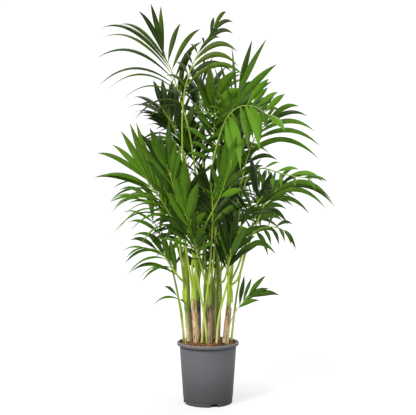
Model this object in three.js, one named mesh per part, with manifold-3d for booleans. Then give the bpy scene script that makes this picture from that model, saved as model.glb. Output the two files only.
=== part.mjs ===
// A clump of young kentia-type palms in a plastic grow pot. Millimetres, +Z up, origin at the middle of the
// pot's underside. The front of the plant faces -Y.
import * as THREE from 'three';
import { mergeVertices } from 'three/addons/utils/BufferGeometryUtils.js';
import Module from 'manifold-3d';

const wasm = await Module();
wasm.setup();

// Driving dimensions
const POT_HEIGHT = 236;
const RIM_RADIUS = 120;
const WALL_TOP_RADIUS = 111.5;
const WALL_FOOT_RADIUS = 95;
const POT_WALL = 2;
const RIM_HEIGHT = 12;
const RIM_EDGE = 2;
const RIM_SHOULDER = 3;
const RIM_ROUND = 4;
const WIDER_BELOW_RIM = 6;
const GROOVE_DEPTH = 1;
const GROOVE_LOW = 13;
const GROOVE_HIGH = 19;
const FOOT_BEVEL = 3;
const NOTCH_WIDTH = 27;
const NOTCH_HEIGHT = 12;
const NOTCH_COUNT = 4;
const NOTCH_TURN_DEG = 15;
const SOIL_BELOW_RIM = 10;
const SOIL_CLEARANCE = 1;
const GAP = 0.3;
const STEM_BASE_RADIUS = 9.8;
const STEM_TOP_RADIUS = 9;
const SHEATH_WALL = 1.6;
const PETIOLE_RADIUS = 4.4;
const RACHIS_TIP_RADIUS = 1.4;
const STALK_TAPER = 2;
const SEAT_RADIUS = 5.4;
const STALK_LIFT = 1.5;
const STALK_RISE = 25;
const LEAFLET_THICKNESS = 1.4;
const LEAFLET_CLEARANCE = 0.8;
const SLENDERNESS = 0.17;
const TWIST_DEG = 24;
const POT_SIDES = 36;
const STEM_SIDES = 10;
const PETIOLE_SIDES = 4;
const SOIL_TOP = POT_HEIGHT - SOIL_BELOW_RIM;

// How leaflets sit on a frond. Spreads run from the lowest leaflet to the last, and each chance value is the
// most that one leaflet differs from its neighbours.
const LEAFLET_OFFSET = { left: 0.35, right: 0.65 };
const LOW_SPREAD_DEG = 68;
const HIGH_SPREAD_DEG = 22;
const SPREAD_CHANCE_DEG = 8;
const END_LENGTH = 0.72;
const MIDDLE_LENGTH = 0.36;
const LENGTH_CHANCE = 0.08;
const DROOP = 0.3;
const DEPTH_CHANCE = 8;
const TWIST_CHANCE_DEG = 4;
const BOW_ALONG = 0.08;
const FACE_OUTWARD = 0.5;
const FACE_FRONT = 0.5;
const FACE_UP = 0.6;

// How finely each piece is divided, and the shares of its full length that a crowded leaflet may have.
const SLIVER = 0.02;
const BARE_STEPS = 5;
const BLADE_STEPS = 6;
const BLADE_SHARES = [0, 0.45];
const REACHES = [1, 0.8, 0.6, 0.4, 0.22];

const UP = new THREE.Vector3(0, 0, 1);
const COLOURS = {
  pot: { color: 0x5c5d60, roughness: 0.72 },
  soil: { color: 0x4a3322, roughness: 0.95 },
  stem: { color: 0x7f9d3c, roughness: 0.55 },
  sheath: { color: 0xb0946a, roughness: 0.9 },
  leaf: { color: 0x3f6f22, roughness: 0.42 },
  young: { color: 0x5a8a2c, roughness: 0.42 },
};

// The short stems, each made of rolled leaf bases: where it leaves the soil [x, y] and its top [x, y, z].
// A sheath height above zero gives it the dry, tan remains of its oldest leaf, reaching up to that height and
// round it between the two directions (degrees, 0 at +X) in coat.
const STEMS = {
  stem_1: { base: [-72, -6], top: [-88, -6, 430], sheath: 0 },
  stem_2: { base: [-44, -40], top: [-54, -46, 416], sheath: 404, coat: [195, 310] },
  stem_3: { base: [-36, 26], top: [-40, 32, 440], sheath: 392, coat: [150, 330] },
  stem_4: { base: [8, -34], top: [4, -38, 424], sheath: 396, coat: [210, 340] },
  stem_5: { base: [20, 40], top: [22, 46, 432], sheath: 0 },
  stem_6: { base: [38, -2], top: [44, 0, 430], sheath: 0 },
  stem_7: { base: [62, -36], top: [84, -44, 430], sheath: 385, coat: [215, 345] },
  stem_8: { base: [70, 24], top: [86, 30, 424], sheath: 360, coat: [190, 370] },
  stem_9: { base: [-8, 74], top: [-8, 86, 436], sheath: 0 },
  stem_10: { base: [-68, 48], top: [-82, 58, 428], sheath: 374, coat: [180, 380] },
};

// The fronds. stem and seat (degrees round the stem's top, 0 at +X) say where the stalk starts; a shoot that
// grows straight from the soil has a base [x, y] instead. via is the rest of the stalk's middle line, and
// leaflets grow from the share `bare` of that line to its end. left and right are the leaflet tips [x, z] on
// each side, from the lowest leaflet up. pairs and long grow a regular comb instead, hanging by droop.
// width is the widest leaflet's breadth, slender the most breadth per length, arch how far a leaflet bows up,
// depth how far the left and right tips come forward of where they start, front how much the leaflets face
// the front, thin a thinner stalk's share of the usual radius, and young a seedling.
const FRONDS = {
  frond_high_left: {
    stem: 'stem_3', seat: 190, bare: 0.74, width: 20, arch: 0.42, front: 1.1, depth: [50, -40],
    via: [[-38, 16, 650], [-42, 10, 810], [-56, 6, 950], [-76, 4, 1065], [-112, 0, 1195],
      [-146, -4, 1300], [-178, -8, 1362]],
    left: [[-232, 1094], [-285, 1088], [-335, 1160], [-385, 1207], [-427, 1217], [-432, 1325],
      [-405, 1405], [-410, 1445], [-337, 1458], [-267, 1510], [-220, 1540]],
    right: [[-80, 1290], [-92, 1335], [-60, 1372], [-20, 1412], [-27, 1460], [-107, 1485], [-185, 1552]],
  },
  frond_high_middle: {
    stem: 'stem_1', seat: 60, bare: 0.7, width: 22, arch: 0.5, front: 0.9, depth: [-30, 40],
    via: [[-92, -4, 600], [-95, -12, 800], [-99, -22, 1000], [-98, -32, 1120], [-84, -40, 1230],
      [-45, -44, 1335], [25, -50, 1445]],
    left: [[-190, 1190], [-172, 1262], [-128, 1320], [-100, 1352], [-72, 1390], [-25, 1415], [22, 1495]],
    right: [[60, 1150], [140, 1252], [95, 1268], [115, 1290], [112, 1345], [45, 1400], [95, 1416],
      [95, 1458], [70, 1495]],
  },
  frond_crown_right: {
    stem: 'stem_5', seat: 200, bare: 0.7, width: 30, arch: 0.16, depth: [-20, 50],
    via: [[6, 30, 620], [3, 8, 800], [24, -15, 930], [58, -30, 1060], [94, -40, 1135], [122, -45, 1195]],
    left: [[-52, 1130], [-35, 1175], [-12, 1260], [15, 1325], [45, 1318], [90, 1385]],
    right: [[150, 1090], [205, 1150], [243, 1236], [262, 1300], [222, 1395], [167, 1392]],
  },
  frond_arching_right: {
    stem: 'stem_6', seat: 30, bare: 0.745, width: 33, slender: 0.21, arch: 0.24, depth: [56, 88],
    via: [[42, -2, 540], [24, -40, 680], [6, -84, 820], [22, -104, 940], [42, -112, 1020],
      [74, -118, 1098], [118, -124, 1134], [172, -134, 1134], [228, -150, 1094]],
    left: [[-40, 1105], [20, 1190], [120, 1225], [222, 1228], [256, 1178], [280, 1170]],
    right: [[84, 900], [112, 935], [146, 965], [190, 1000], [214, 1040], [276, 1030]],
  },
  frond_right_high: {
    stem: 'stem_8', seat: 80, bare: 0.7, width: 20, arch: 0.36, front: 0.8, depth: [-60, 50],
    via: [[100, 44, 600], [112, 20, 750], [132, -36, 870], [154, -62, 962], [178, -76, 1022],
      [228, -84, 1085]],
    left: [[60, 1020], [78, 1090], [110, 1120], [160, 1130], [220, 1150], [262, 1140]],
    right: [[262, 935], [350, 987], [415, 938], [420, 985], [398, 1040], [372, 1098], [340, 1132]],
  },
  frond_right_middle: {
    stem: 'stem_7', seat: 0, bare: 0.74, width: 19, arch: 0.46, front: 0.8, depth: [-50, 50],
    via: [[112, -56, 480], [146, -66, 590], [182, -76, 690], [216, -84, 770], [262, -90, 832]],
    left: [[150, 800], [165, 850], [200, 872], [262, 900], [330, 905]],
    right: [[300, 690], [380, 730], [438, 752], [475, 757], [462, 778], [430, 850]],
  },
  frond_right_arching: {
    stem: 'stem_8', seat: 320, bare: 0.66, width: 18, arch: 0.25, depth: [40, 60],
    via: [[104, 8, 600], [128, -20, 780], [156, -80, 880], [200, -130, 903], [284, -170, 878],
      [380, -190, 862]],
    left: [[200, 938], [262, 922], [330, 895], [400, 868], [432, 850]],
    right: [[214, 806], [240, 822], [262, 826], [312, 830], [386, 812]],
  },
  frond_right_low: {
    stem: 'stem_7', seat: 90, bare: 0.61, width: 19, arch: 0.41, front: 0.8, depth: [-44, 46],
    via: [[116, -32, 530], [150, -26, 620], [182, -28, 664], [222, -34, 680], [266, -40, 680],
      [306, -45, 660]],
    left: [[120, 720], [200, 752], [272, 755], [330, 690], [343, 592]],
    right: [[228, 573], [240, 610], [270, 612], [290, 625], [314, 615]],
  },
  frond_left_high: {
    stem: 'stem_1', seat: 180, bare: 0.62, width: 27, arch: 0.22, front: 0.8, depth: [60, -20],
    via: [[-104, -22, 560], [-118, -40, 670], [-150, -60, 740], [-198, -75, 815], [-237, -85, 872]],
    left: [[-262, 700], [-300, 772], [-368, 775], [-427, 868], [-402, 872], [-415, 959]],
    right: [[-120, 900], [-165, 985], [-218, 1046], [-275, 1084], [-300, 1081], [-334, 1051],
      [-367, 997]],
  },
  frond_left_upright: {
    stem: 'stem_2', seat: 180, bare: 0.62, width: 28, arch: 0.12, depth: [50, 20],
    via: [[-78, -62, 560], [-92, -80, 660], [-112, -100, 760], [-136, -120, 860], [-160, -135, 930]],
    left: [[-220, 850], [-232, 935], [-262, 1000], [-250, 1030], [-215, 1050]],
    right: [[-62, 800], [-85, 945], [-100, 985], [-145, 1085], [-180, 1035]],
  },
  frond_left_drooping: {
    stem: 'stem_10', seat: 270, bare: 0.5, width: 20, arch: 0.5, front: 0.8, depth: [70, 0],
    via: [[-98, 30, 560], [-118, -15, 650], [-152, -50, 712], [-200, -80, 760], [-250, -100, 775]],
    left: [[-222, 640], [-262, 600], [-374, 631], [-345, 655], [-365, 725], [-350, 748]],
    right: [[-150, 850], [-205, 880], [-290, 850], [-340, 820], [-368, 778]],
  },
  frond_left_low: {
    stem: 'stem_1', seat: 300, bare: 0.28, width: 27, arch: 0.4, front: 0.8, depth: [60, -20],
    via: [[-112, -50, 490], [-142, -60, 535], [-172, -66, 578], [-208, -70, 598], [-240, -72, 592]],
    left: [[-293, 512], [-250, 475], [-303, 503], [-312, 545], [-306, 566]],
    right: [[-146, 640], [-180, 668], [-240, 660], [-300, 630], [-332, 585]],
  },
  frond_front_middle: {
    stem: 'stem_2', seat: 300, bare: 0.78, width: 42, slender: 0.24, arch: 0.08, depth: [60, 50],
    via: [[-60, -84, 540], [-44, -104, 620], [-12, -126, 690], [18, -146, 745], [50, -166, 813],
      [72, -180, 880]],
    left: [[-28, 830], [6, 915], [36, 985], [62, 1000]],
    right: [[124, 820], [138, 900], [132, 1010], [104, 1015]],
  },
  frond_front_low: {
    stem: 'stem_6', seat: 270, bare: 0.55, width: 38, arch: 0.1, depth: [50, 50],
    via: [[62, -60, 480], [74, -98, 530], [84, -122, 570], [86, -138, 600]],
    left: [[20, 640], [28, 715], [50, 752]],
    right: [[144, 602], [144, 680], [112, 752]],
  },
  frond_front_short: {
    stem: 'stem_4', seat: 230, bare: 0.6, width: 36, arch: 0.2, depth: [50, 60],
    via: [[-14, -80, 490], [-32, -112, 560], [-46, -132, 600], [-52, -146, 640]],
    left: [[-70, 560], [-84, 640], [-78, 715]],
    right: [[-4, 512], [28, 625], [0, 700], [-50, 748]],
  },
  frond_middle_dark: {
    stem: 'stem_3', seat: 310, bare: 0.66, width: 44, slender: 0.22, arch: 0.12, depth: [10, 10],
    via: [[-18, -4, 580], [-12, 10, 720], [-22, 24, 830], [-45, 36, 930], [-70, 44, 1010]],
    left: [[-130, 860], [-150, 960], [-160, 1060], [-130, 1110]],
    right: [[20, 850], [40, 930], [20, 1040], [-10, 1100], [-60, 1140]],
  },
  frond_middle_low: {
    stem: 'stem_4', seat: 20, bare: 0.66, width: 40, slender: 0.21, arch: 0.15, depth: [20, 20],
    via: [[20, -50, 540], [28, -62, 640], [34, -72, 720], [30, -78, 800]],
    left: [[-50, 720], [-40, 800], [-20, 880], [10, 920]],
    right: [[100, 720], [110, 800], [90, 870], [60, 910]],
  },
  frond_middle_right: {
    stem: 'stem_6', seat: 150, bare: 0.66, width: 40, slender: 0.21, arch: 0.15, depth: [0, 10],
    via: [[36, 22, 600], [60, 20, 740], [86, 10, 840], [104, 0, 920], [112, -6, 980]],
    left: [[0, 900], [30, 980], [50, 1060], [90, 1100]],
    right: [[190, 850], [215, 920], [205, 1000], [180, 1060], [140, 1110]],
  },
  frond_back_high: {
    stem: 'stem_9', seat: 270, bare: 0.66, width: 32, arch: 0.3, pairs: 8, long: 235,
    via: [[-8, 110, 650], [-12, 130, 850], [-16, 160, 1030], [-10, 200, 1160], [0, 250, 1240]],
  },
  frond_back_left: {
    stem: 'stem_10', seat: 30, bare: 0.62, width: 30, arch: 0.3, pairs: 7, long: 205,
    via: [[-92, 84, 650], [-104, 110, 860], [-118, 140, 1010], [-140, 180, 1110], [-165, 225, 1170]],
  },
  frond_back_right: {
    stem: 'stem_5', seat: 60, bare: 0.64, width: 30, arch: 0.3, pairs: 7, long: 200,
    via: [[44, 90, 640], [66, 118, 850], [94, 150, 1010], [130, 190, 1110], [170, 235, 1170]],
  },
  frond_back_low: {
    stem: 'stem_9', seat: 30, bare: 0.58, width: 32, arch: 0.3, pairs: 6, long: 200,
    via: [[10, 130, 560], [22, 180, 680], [34, 240, 770], [44, 300, 820]],
  },
  frond_back_side: {
    stem: 'stem_10', seat: 150, bare: 0.58, width: 30, arch: 0.36, pairs: 5, long: 190,
    via: [[-112, 78, 560], [-150, 108, 700], [-200, 150, 800], [-250, 195, 850]],
  },
  frond_back_corner: {
    stem: 'stem_5', seat: 320, bare: 0.58, width: 30, arch: 0.3, pairs: 6, long: 170,
    via: [[84, 74, 560], [140, 114, 700], [190, 165, 800], [235, 215, 845]],
  },
  frond_back_short: {
    stem: 'stem_9', seat: 150, bare: 0.55, width: 30, arch: 0.3, pairs: 5, long: 180,
    via: [[-30, 120, 540], [-50, 165, 640], [-74, 215, 710], [-100, 265, 750]],
  },
  frond_inner_left: {
    stem: 'stem_3', seat: 70, bare: 0.6, width: 30, arch: 0.3, pairs: 8, long: 200,
    via: [[-34, 46, 600], [-58, 54, 800], [-94, 62, 960], [-136, 72, 1080], [-182, 90, 1150]],
  },
  frond_inner_low: {
    stem: 'stem_2', seat: 60, bare: 0.55, width: 30, arch: 0.25, pairs: 6, long: 165, droop: 0.4,
    via: [[-48, -34, 560], [-62, -36, 680], [-84, -40, 780], [-116, -50, 860]],
  },
  frond_inner_tall: {
    stem: 'stem_4', seat: 120, bare: 0.62, width: 32, arch: 0.25, pairs: 8, long: 215, droop: 0.6,
    via: [[-14, -20, 600], [-16, 2, 800], [-22, 18, 980], [-30, 32, 1120], [-36, 46, 1250]],
  },
  frond_front_right: {
    stem: 'stem_7', seat: 225, bare: 0.72, width: 44, slender: 0.25, arch: 0.1, depth: [40, 40],
    via: [[80, -64, 540], [102, -88, 630], [136, -116, 710], [172, -140, 760], [204, -156, 800]],
    left: [[60, 800], [92, 880], [152, 950]],
    right: [[236, 740], [252, 812], [234, 887]],
  },
  frond_inner_right: {
    stem: 'stem_8', seat: 200, bare: 0.6, width: 30, arch: 0.3, pairs: 8, long: 200,
    via: [[74, 30, 600], [68, 40, 780], [70, 52, 940], [84, 66, 1080], [106, 84, 1180]],
  },
  frond_shoot_crossing: {
    base: [-2, -66], bare: 0.7, width: 38, slender: 0.22, arch: 0.15, depth: [50, 50],
    via: [[-12, -74, 330], [-28, -90, 430], [-50, -108, 540], [-70, -120, 660], [-84, -128, 750]],
    left: [[-182, 640], [-176, 730], [-158, 820], [-128, 880]],
    right: [[2, 640], [-6, 740], [-36, 850], [-84, 930]],
  },
  frond_shoot_middle: {
    base: [-24, -54], bare: 0.62, width: 32, arch: 0.2, pairs: 6, long: 150, droop: 0.1,
    via: [[-16, -58, 340], [0, -84, 460], [12, -106, 600], [18, -122, 740], [10, -138, 850]],
  },
  frond_shoot_tall: {
    base: [-6, 6], bare: 0.72, width: 42, slender: 0.26, arch: 0.15, front: 0.9, depth: [60, 60],
    via: [[-4, 6, 400], [10, 4, 600], [16, -12, 800], [20, -30, 960], [24, -50, 1080], [30, -66, 1190]],
    left: [[-80, 960], [-90, 1060], [-70, 1160], [-44, 1250], [0, 1300]],
    right: [[110, 980], [136, 1080], [132, 1180], [104, 1270]],
  },
  frond_shoot_right: {
    base: [32, -60], bare: 0.62, width: 34, slender: 0.22, arch: 0.15, depth: [40, 40],
    via: [[40, -70, 330], [66, -74, 440], [98, -80, 560], [114, -102, 640], [124, -118, 700]],
    left: [[50, 650], [62, 740], [92, 800]],
    right: [[196, 620], [190, 690], [176, 770]],
  },
  frond_shoot_side: {
    base: [90, 0], bare: 0.6, width: 24, arch: 0.4, pairs: 5, long: 150,
    via: [[110, 6, 400], [140, 20, 560], [174, 40, 690], [214, 66, 770]],
  },
  frond_shoot_back: {
    base: [34, 84], bare: 0.5, width: 30, arch: 0.3, pairs: 6, long: 170,
    via: [[44, 112, 380], [58, 152, 560], [68, 196, 720], [76, 246, 840]],
  },
  frond_shoot_corner: {
    base: [-58, 78], bare: 0.5, width: 30, arch: 0.3, pairs: 7, long: 180,
    via: [[-76, 106, 400], [-96, 146, 600], [-116, 192, 760], [-134, 246, 880]],
  },
  frond_shoot_left: {
    base: [-92, 10], bare: 0.5, width: 28, arch: 0.36, pairs: 5, long: 170,
    via: [[-112, 14, 380], [-142, 22, 520], [-182, 34, 640], [-226, 50, 720]],
  },
  frond_shoot_behind: {
    base: [30, 66], bare: 0.5, width: 36, slender: 0.22, arch: 0.2, pairs: 6, long: 180, droop: 0.3,
    via: [[34, 72, 330], [36, 78, 480], [28, 86, 620], [14, 96, 760]],
  },
  frond_shoot_hidden: {
    base: [-44, 76], bare: 0.5, width: 36, slender: 0.22, arch: 0.2, pairs: 6, long: 180, droop: 0.3,
    via: [[-46, 80, 330], [-48, 84, 480], [-50, 92, 620], [-54, 104, 760]],
  },
  frond_seedling_right: {
    base: [76, -62], bare: 0.62, width: 34, slender: 0.2, arch: 0.2, thin: 0.5, depth: [10, 10], young: true,
    via: [[86, -68, 320], [108, -74, 365], [138, -78, 402], [160, -80, 420]],
    left: [[100, 405], [137, 500], [165, 492], [218, 500]],
    right: [[195, 405], [230, 450], [270, 425]],
  },
  frond_seedling_left: {
    base: [-84, -44], bare: 0.82, width: 28, slender: 0.24, arch: 0.45, thin: 0.5, depth: [10, 0], young: true,
    via: [[-94, -50, 300], [-98, -54, 350], [-108, -58, 400], [-122, -60, 424]],
    left: [[-214, 378]],
    right: [[-80, 380], [-168, 453]],
  },
};

const vector = (list) => new THREE.Vector3(...list);
const mix = (a, b, share) => a + (b - a) * share;
const wobble = (seed) => {
  const value = Math.sin(seed * 12.9898) * 43758.5453;
  return 2 * (value - Math.floor(value)) - 1;
};

// A closed skin through rings of points; a ring of one point closes to a tip.
function loft(rings) {
  const positions = rings.flat().flatMap((point) => point.toArray());
  const starts = [];
  let count = 0;
  for (const ring of rings) {
    starts.push(count);
    count += ring.length;
  }
  const faces = [];
  for (let r = 0; r + 1 < rings.length; r += 1) {
    const sides = rings[r].length;
    for (let i = 0; i < sides; i += 1) {
      const a = starts[r] + i;
      const b = starts[r] + ((i + 1) % sides);
      if (rings[r + 1].length === 1) {
        faces.push(a, b, starts[r + 1]);
      } else {
        const c = starts[r + 1] + i;
        const d = starts[r + 1] + ((i + 1) % sides);
        faces.push(a, b, d, a, d, c);
      }
    }
  }
  for (let i = 1; i + 1 < rings[0].length; i += 1) faces.push(0, i + 1, i);
  const last = starts[rings.length - 1];
  for (let i = 1; i + 1 < rings[rings.length - 1].length; i += 1) faces.push(last, last + i, last + i + 1);
  const geometry = new THREE.BufferGeometry();
  geometry.setAttribute('position', new THREE.Float32BufferAttribute(positions, 3));
  geometry.setIndex(faces);
  return geometry;
}

function solidOf(geometry) {
  const plain = geometry.clone();
  plain.deleteAttribute('normal');
  plain.deleteAttribute('uv');
  const merged = mergeVertices(plain, 1e-4);
  const vertProperties = new Float32Array(merged.attributes.position.array);
  const triVerts = new Uint32Array(merged.index.array);
  return new wasm.Manifold(new wasm.Mesh({ numProp: 3, vertProperties, triVerts }));
}

// The outer surface of a solid, without the slivers and closed pockets that joining its parts can leave.
function geometryOf(solid) {
  const bodies = solid.simplify(SLIVER).decompose();
  bodies.sort((a, b) => b.volume() - a.volume());
  const mesh = bodies[0].getMesh();
  const geometry = new THREE.BufferGeometry();
  geometry.setAttribute('position', new THREE.Float32BufferAttribute(mesh.vertProperties, 3));
  geometry.setIndex(new THREE.Uint32BufferAttribute(mesh.triVerts, 1));
  geometry.computeVertexNormals();
  return geometry;
}

// A round rod along a curve, with a ring at each share of its length and its radius worked out there.
function rod(curve, radiusAt, shares, sides) {
  const rings = [];
  for (const share of shares) {
    const centre = curve.getPointAt(share);
    const along = curve.getTangentAt(share);
    const across = new THREE.Vector3(0, 1, 0).cross(along).normalize();
    const out = along.clone().cross(across);
    const ring = [];
    for (let i = 0; i < sides; i += 1) {
      const turn = (2 * Math.PI * i) / sides;
      ring.push(centre.clone()
        .addScaledVector(across, radiusAt(share) * Math.cos(turn))
        .addScaledVector(out, radiusAt(share) * Math.sin(turn)));
    }
    rings.push(ring);
  }
  return loft(rings);
}

function lathe(points, sides) {
  const profile = points.map(([r, z]) => new THREE.Vector2(r, z));
  return new THREE.LatheGeometry(profile, sides).rotateX(Math.PI / 2);
}

const wallAt = (z) => mix(WALL_FOOT_RADIUS, WALL_TOP_RADIUS, z / POT_HEIGHT);

function potSolid() {
  const lip = POT_HEIGHT - RIM_HEIGHT;
  const groove = WALL_FOOT_RADIUS - GROOVE_DEPTH;
  const outer = [
    [0, 0], [WALL_FOOT_RADIUS - FOOT_BEVEL, 0], [WALL_FOOT_RADIUS, FOOT_BEVEL],
    [WALL_FOOT_RADIUS, GROOVE_LOW], [groove, GROOVE_LOW + GROOVE_DEPTH], [groove, GROOVE_HIGH - GROOVE_DEPTH],
    [wallAt(GROOVE_HIGH), GROOVE_HIGH], [wallAt(lip), lip], [RIM_RADIUS - RIM_EDGE, lip],
    [RIM_RADIUS, lip + RIM_SHOULDER], [RIM_RADIUS, POT_HEIGHT - RIM_ROUND],
    [RIM_RADIUS - RIM_ROUND, POT_HEIGHT],
  ];
  const inner = [
    [wallAt(POT_HEIGHT) + 1, POT_HEIGHT], [wallAt(lip) - POT_WALL, lip - WIDER_BELOW_RIM],
    [wallAt(GROOVE_HIGH) - POT_WALL - GROOVE_DEPTH, GROOVE_HIGH], [groove - POT_WALL, POT_WALL],
    [0, POT_WALL],
  ];
  let pot = solidOf(lathe([...outer, ...inner], POT_SIDES));
  for (let i = 0; i < NOTCH_COUNT; i += 1) {
    const turn = THREE.MathUtils.degToRad(NOTCH_TURN_DEG + (360 * i) / NOTCH_COUNT);
    const notch = new THREE.BoxGeometry(NOTCH_WIDTH, 2 * NOTCH_HEIGHT, 2 * NOTCH_HEIGHT)
      .translate(0, -WALL_FOOT_RADIUS, 0)
      .rotateZ(turn);
    pot = pot.subtract(solidOf(notch));
  }
  return pot;
}

function soilSolid() {
  const low = POT_WALL + GAP;
  const side = wallAt(GROOVE_HIGH) - POT_WALL - GROOVE_DEPTH - SOIL_CLEARANCE;
  const shoulder = POT_HEIGHT - RIM_HEIGHT - WIDER_BELOW_RIM;
  const edge = wallAt(shoulder) - POT_WALL - SOIL_CLEARANCE;
  return solidOf(lathe([[0, low], [side - FOOT_BEVEL, low], [side, GROOVE_HIGH], [edge, shoulder],
    [edge, SOIL_TOP], [0, SOIL_TOP]], POT_SIDES));
}

// Stands an upright piece on the soil where a stem grows, and leans it the way that stem leans.
function leanOf({ base, top }) {
  const rise = top[2] - SOIL_TOP - GAP;
  return new THREE.Matrix4().set(
    1, 0, (top[0] - base[0]) / rise, base[0],
    0, 1, (top[1] - base[1]) / rise, base[1],
    0, 0, 1, SOIL_TOP + GAP,
    0, 0, 0, 1,
  );
}

function stemSolid(stem) {
  const height = stem.top[2] - SOIL_TOP - GAP;
  return solidOf(new THREE.CylinderGeometry(STEM_TOP_RADIUS, STEM_BASE_RADIUS, height, STEM_SIDES)
    .rotateX(Math.PI / 2)
    .translate(0, 0, height / 2)
    .applyMatrix4(leanOf(stem)));
}

// The dry sheath is a loose, thin coat round part of its stem, between the two directions that coat gives.
function sheathSolid(stem) {
  const inner = (STEM_BASE_RADIUS + GAP) / Math.cos(Math.PI / STEM_SIDES);
  const [from, to] = stem.coat.map(THREE.MathUtils.degToRad);
  const outline = new THREE.Shape()
    .absarc(0, 0, inner + SHEATH_WALL, from, to, false)
    .absarc(0, 0, inner, to, from, true);
  const height = stem.sheath - SOIL_TOP - GAP;
  const coat = new THREE.ExtrudeGeometry(outline, { depth: height, bevelEnabled: false, curveSegments: 5 });
  return solidOf(coat.applyMatrix4(leanOf(stem)));
}

// The middle line of a frond's stalk, from its foot to its tip.
function frondLine(frond) {
  const points = frond.via.map(vector);
  if (frond.stem) {
    const top = vector(STEMS[frond.stem].top);
    const seat = THREE.MathUtils.degToRad(frond.seat);
    const aside = new THREE.Vector3(Math.cos(seat), Math.sin(seat), 0);
    const foot = top.clone().addScaledVector(aside, SEAT_RADIUS).addScaledVector(UP, STALK_LIFT);
    points.unshift(foot, foot.clone().addScaledVector(UP, STALK_RISE));
  } else {
    points.unshift(new THREE.Vector3(...frond.base, SOIL_TOP + STALK_LIFT));
  }
  return new THREE.CatmullRomCurve3(points, false, 'centripetal');
}

// Where a frond's stalk has its rings: a few on the bare part and more where the leaflets grow.
function stalkShares({ bare }) {
  const shares = [];
  for (let s = 0; s < BARE_STEPS; s += 1) shares.push((bare * s) / BARE_STEPS);
  for (let s = 0; s <= BLADE_STEPS; s += 1) shares.push(mix(bare, 1, s / BLADE_STEPS));
  return shares;
}

// A point inside the stalk, on the straight stretch between two of its rings.
function insideStalk(line, shares, share) {
  const next = shares.findIndex((ring) => ring >= share);
  const low = shares[next - 1];
  const high = shares[next];
  return line.getPointAt(low).lerp(line.getPointAt(high), (share - low) / (high - low));
}

function stalkRadius({ thin = 1 }) {
  return (share) => thin * mix(PETIOLE_RADIUS, RACHIS_TIP_RADIUS, share ** STALK_TAPER);
}

// The way a frond's upper side looks: outwards from the pot's middle, up, and to the front.
function faceOf(line, { bare, front = FACE_FRONT }) {
  const outward = line.getPointAt((bare + 1) / 2).setZ(0).normalize();
  return outward.multiplyScalar(FACE_OUTWARD).add(new THREE.Vector3(0, -front, FACE_UP)).normalize();
}

// Where each leaflet of a frond starts and ends, lowest first.
function leafletEnds(frond, line, seed) {
  const sides = { left: frond.left, right: frond.right };
  const face = faceOf(line, frond);
  const ends = [];
  for (const [side, tips] of Object.entries(sides)) {
    const count = frond.pairs ?? tips.length;
    for (let i = 0; i < count; i += 1) {
      const climb = (i + LEAFLET_OFFSET[side]) / count;
      const share = Math.min(mix(frond.bare, 1, climb), 0.995);
      const start = insideStalk(line, stalkShares(frond), share);
      const along = line.getTangentAt(share);
      const sign = side === 'left' ? -1 : 1;
      const chance = wobble(seed + 7 * i + 3 * sign);
      let tip;
      if (frond.pairs) {
        const degrees = mix(LOW_SPREAD_DEG, HIGH_SPREAD_DEG, climb) + SPREAD_CHANCE_DEG * chance;
        const spread = THREE.MathUtils.degToRad(degrees);
        const swell = MIDDLE_LENGTH * Math.sin(Math.PI * mix(0.2, 0.9, climb));
        const length = frond.long * (END_LENGTH + swell + LENGTH_CHANCE * chance);
        const across = along.clone().cross(face).normalize();
        tip = start.clone()
          .addScaledVector(along, length * Math.cos(spread))
          .addScaledVector(across, sign * length * Math.sin(spread))
          .addScaledVector(UP, -(frond.droop ?? DROOP) * length * Math.sin(spread));
      } else {
        const [x, z] = tips[i];
        const forward = frond.depth[side === 'left' ? 0 : 1] + DEPTH_CHANCE * chance;
        tip = new THREE.Vector3(x, start.y - forward, z);
      }
      ends.push({ start, tip, along, chance, face });
    }
  }
  return ends;
}

// A blade's breadth along its length: it swells to its middle and narrows again.
function bladeShape(share) {
  const swell = Math.sin(Math.PI * Math.min(share / 0.8, 1) ** 0.8);
  return 0.05 * (1 - share ** 3) + 0.7 * swell;
}

// A leaflet is a thin blade with a raised midrib that narrows to a point. reach cuts it short, and extra
// makes it thicker all round.
function leafletSolid(frond, { start, tip, along, chance, face }, reach, extra) {
  const chord = tip.clone().sub(start);
  const level = Math.hypot(chord.x, chord.y);
  const bow = start.clone().addScaledVector(chord, 0.5)
    .addScaledVector(UP, frond.arch * level)
    .addScaledVector(along, BOW_ALONG * chord.length());
  const line = new THREE.QuadraticBezierCurve3(start, bow, tip);
  const twist = THREE.MathUtils.degToRad(TWIST_DEG + TWIST_CHANCE_DEG * chance);
  const widest = Math.min(frond.width, (frond.slender ?? SLENDERNESS) * chord.length());
  const sideways = chord.clone().cross(face).applyAxisAngle(chord.clone().normalize(), twist);
  const rings = BLADE_SHARES.map((share) => {
    const centre = line.getPoint(share * reach);
    const run = line.getTangent(share * reach);
    const across = sideways.clone().projectOnPlane(run).normalize();
    const out = across.clone().cross(run).normalize();
    const half = (widest / 2) * bladeShape(share) + extra;
    return [
      centre.clone().addScaledVector(across, -half).addScaledVector(out, -extra),
      centre.clone().addScaledVector(out, LEAFLET_THICKNESS + extra),
      centre.clone().addScaledVector(across, half).addScaledVector(out, -extra),
    ];
  });
  rings.push([line.getPoint(reach)]);
  return solidOf(loft(rings));
}

// A solid already in place, with its box, that later leaflets must stay clear of.
const placed = [];
function place(owner, solid) {
  placed.push({ owner, solid, box: solid.boundingBox() });
}
const boxesMeet = (a, b) => [0, 1, 2].every((axis) => a.min[axis] < b.max[axis] && b.min[axis] < a.max[axis]);
function isClear(owner, solid) {
  const box = solid.boundingBox();
  return placed.every((other) => other.owner === owner || !boxesMeet(box, other.box)
    || solid.intersect(other.solid).isEmpty());
}

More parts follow.
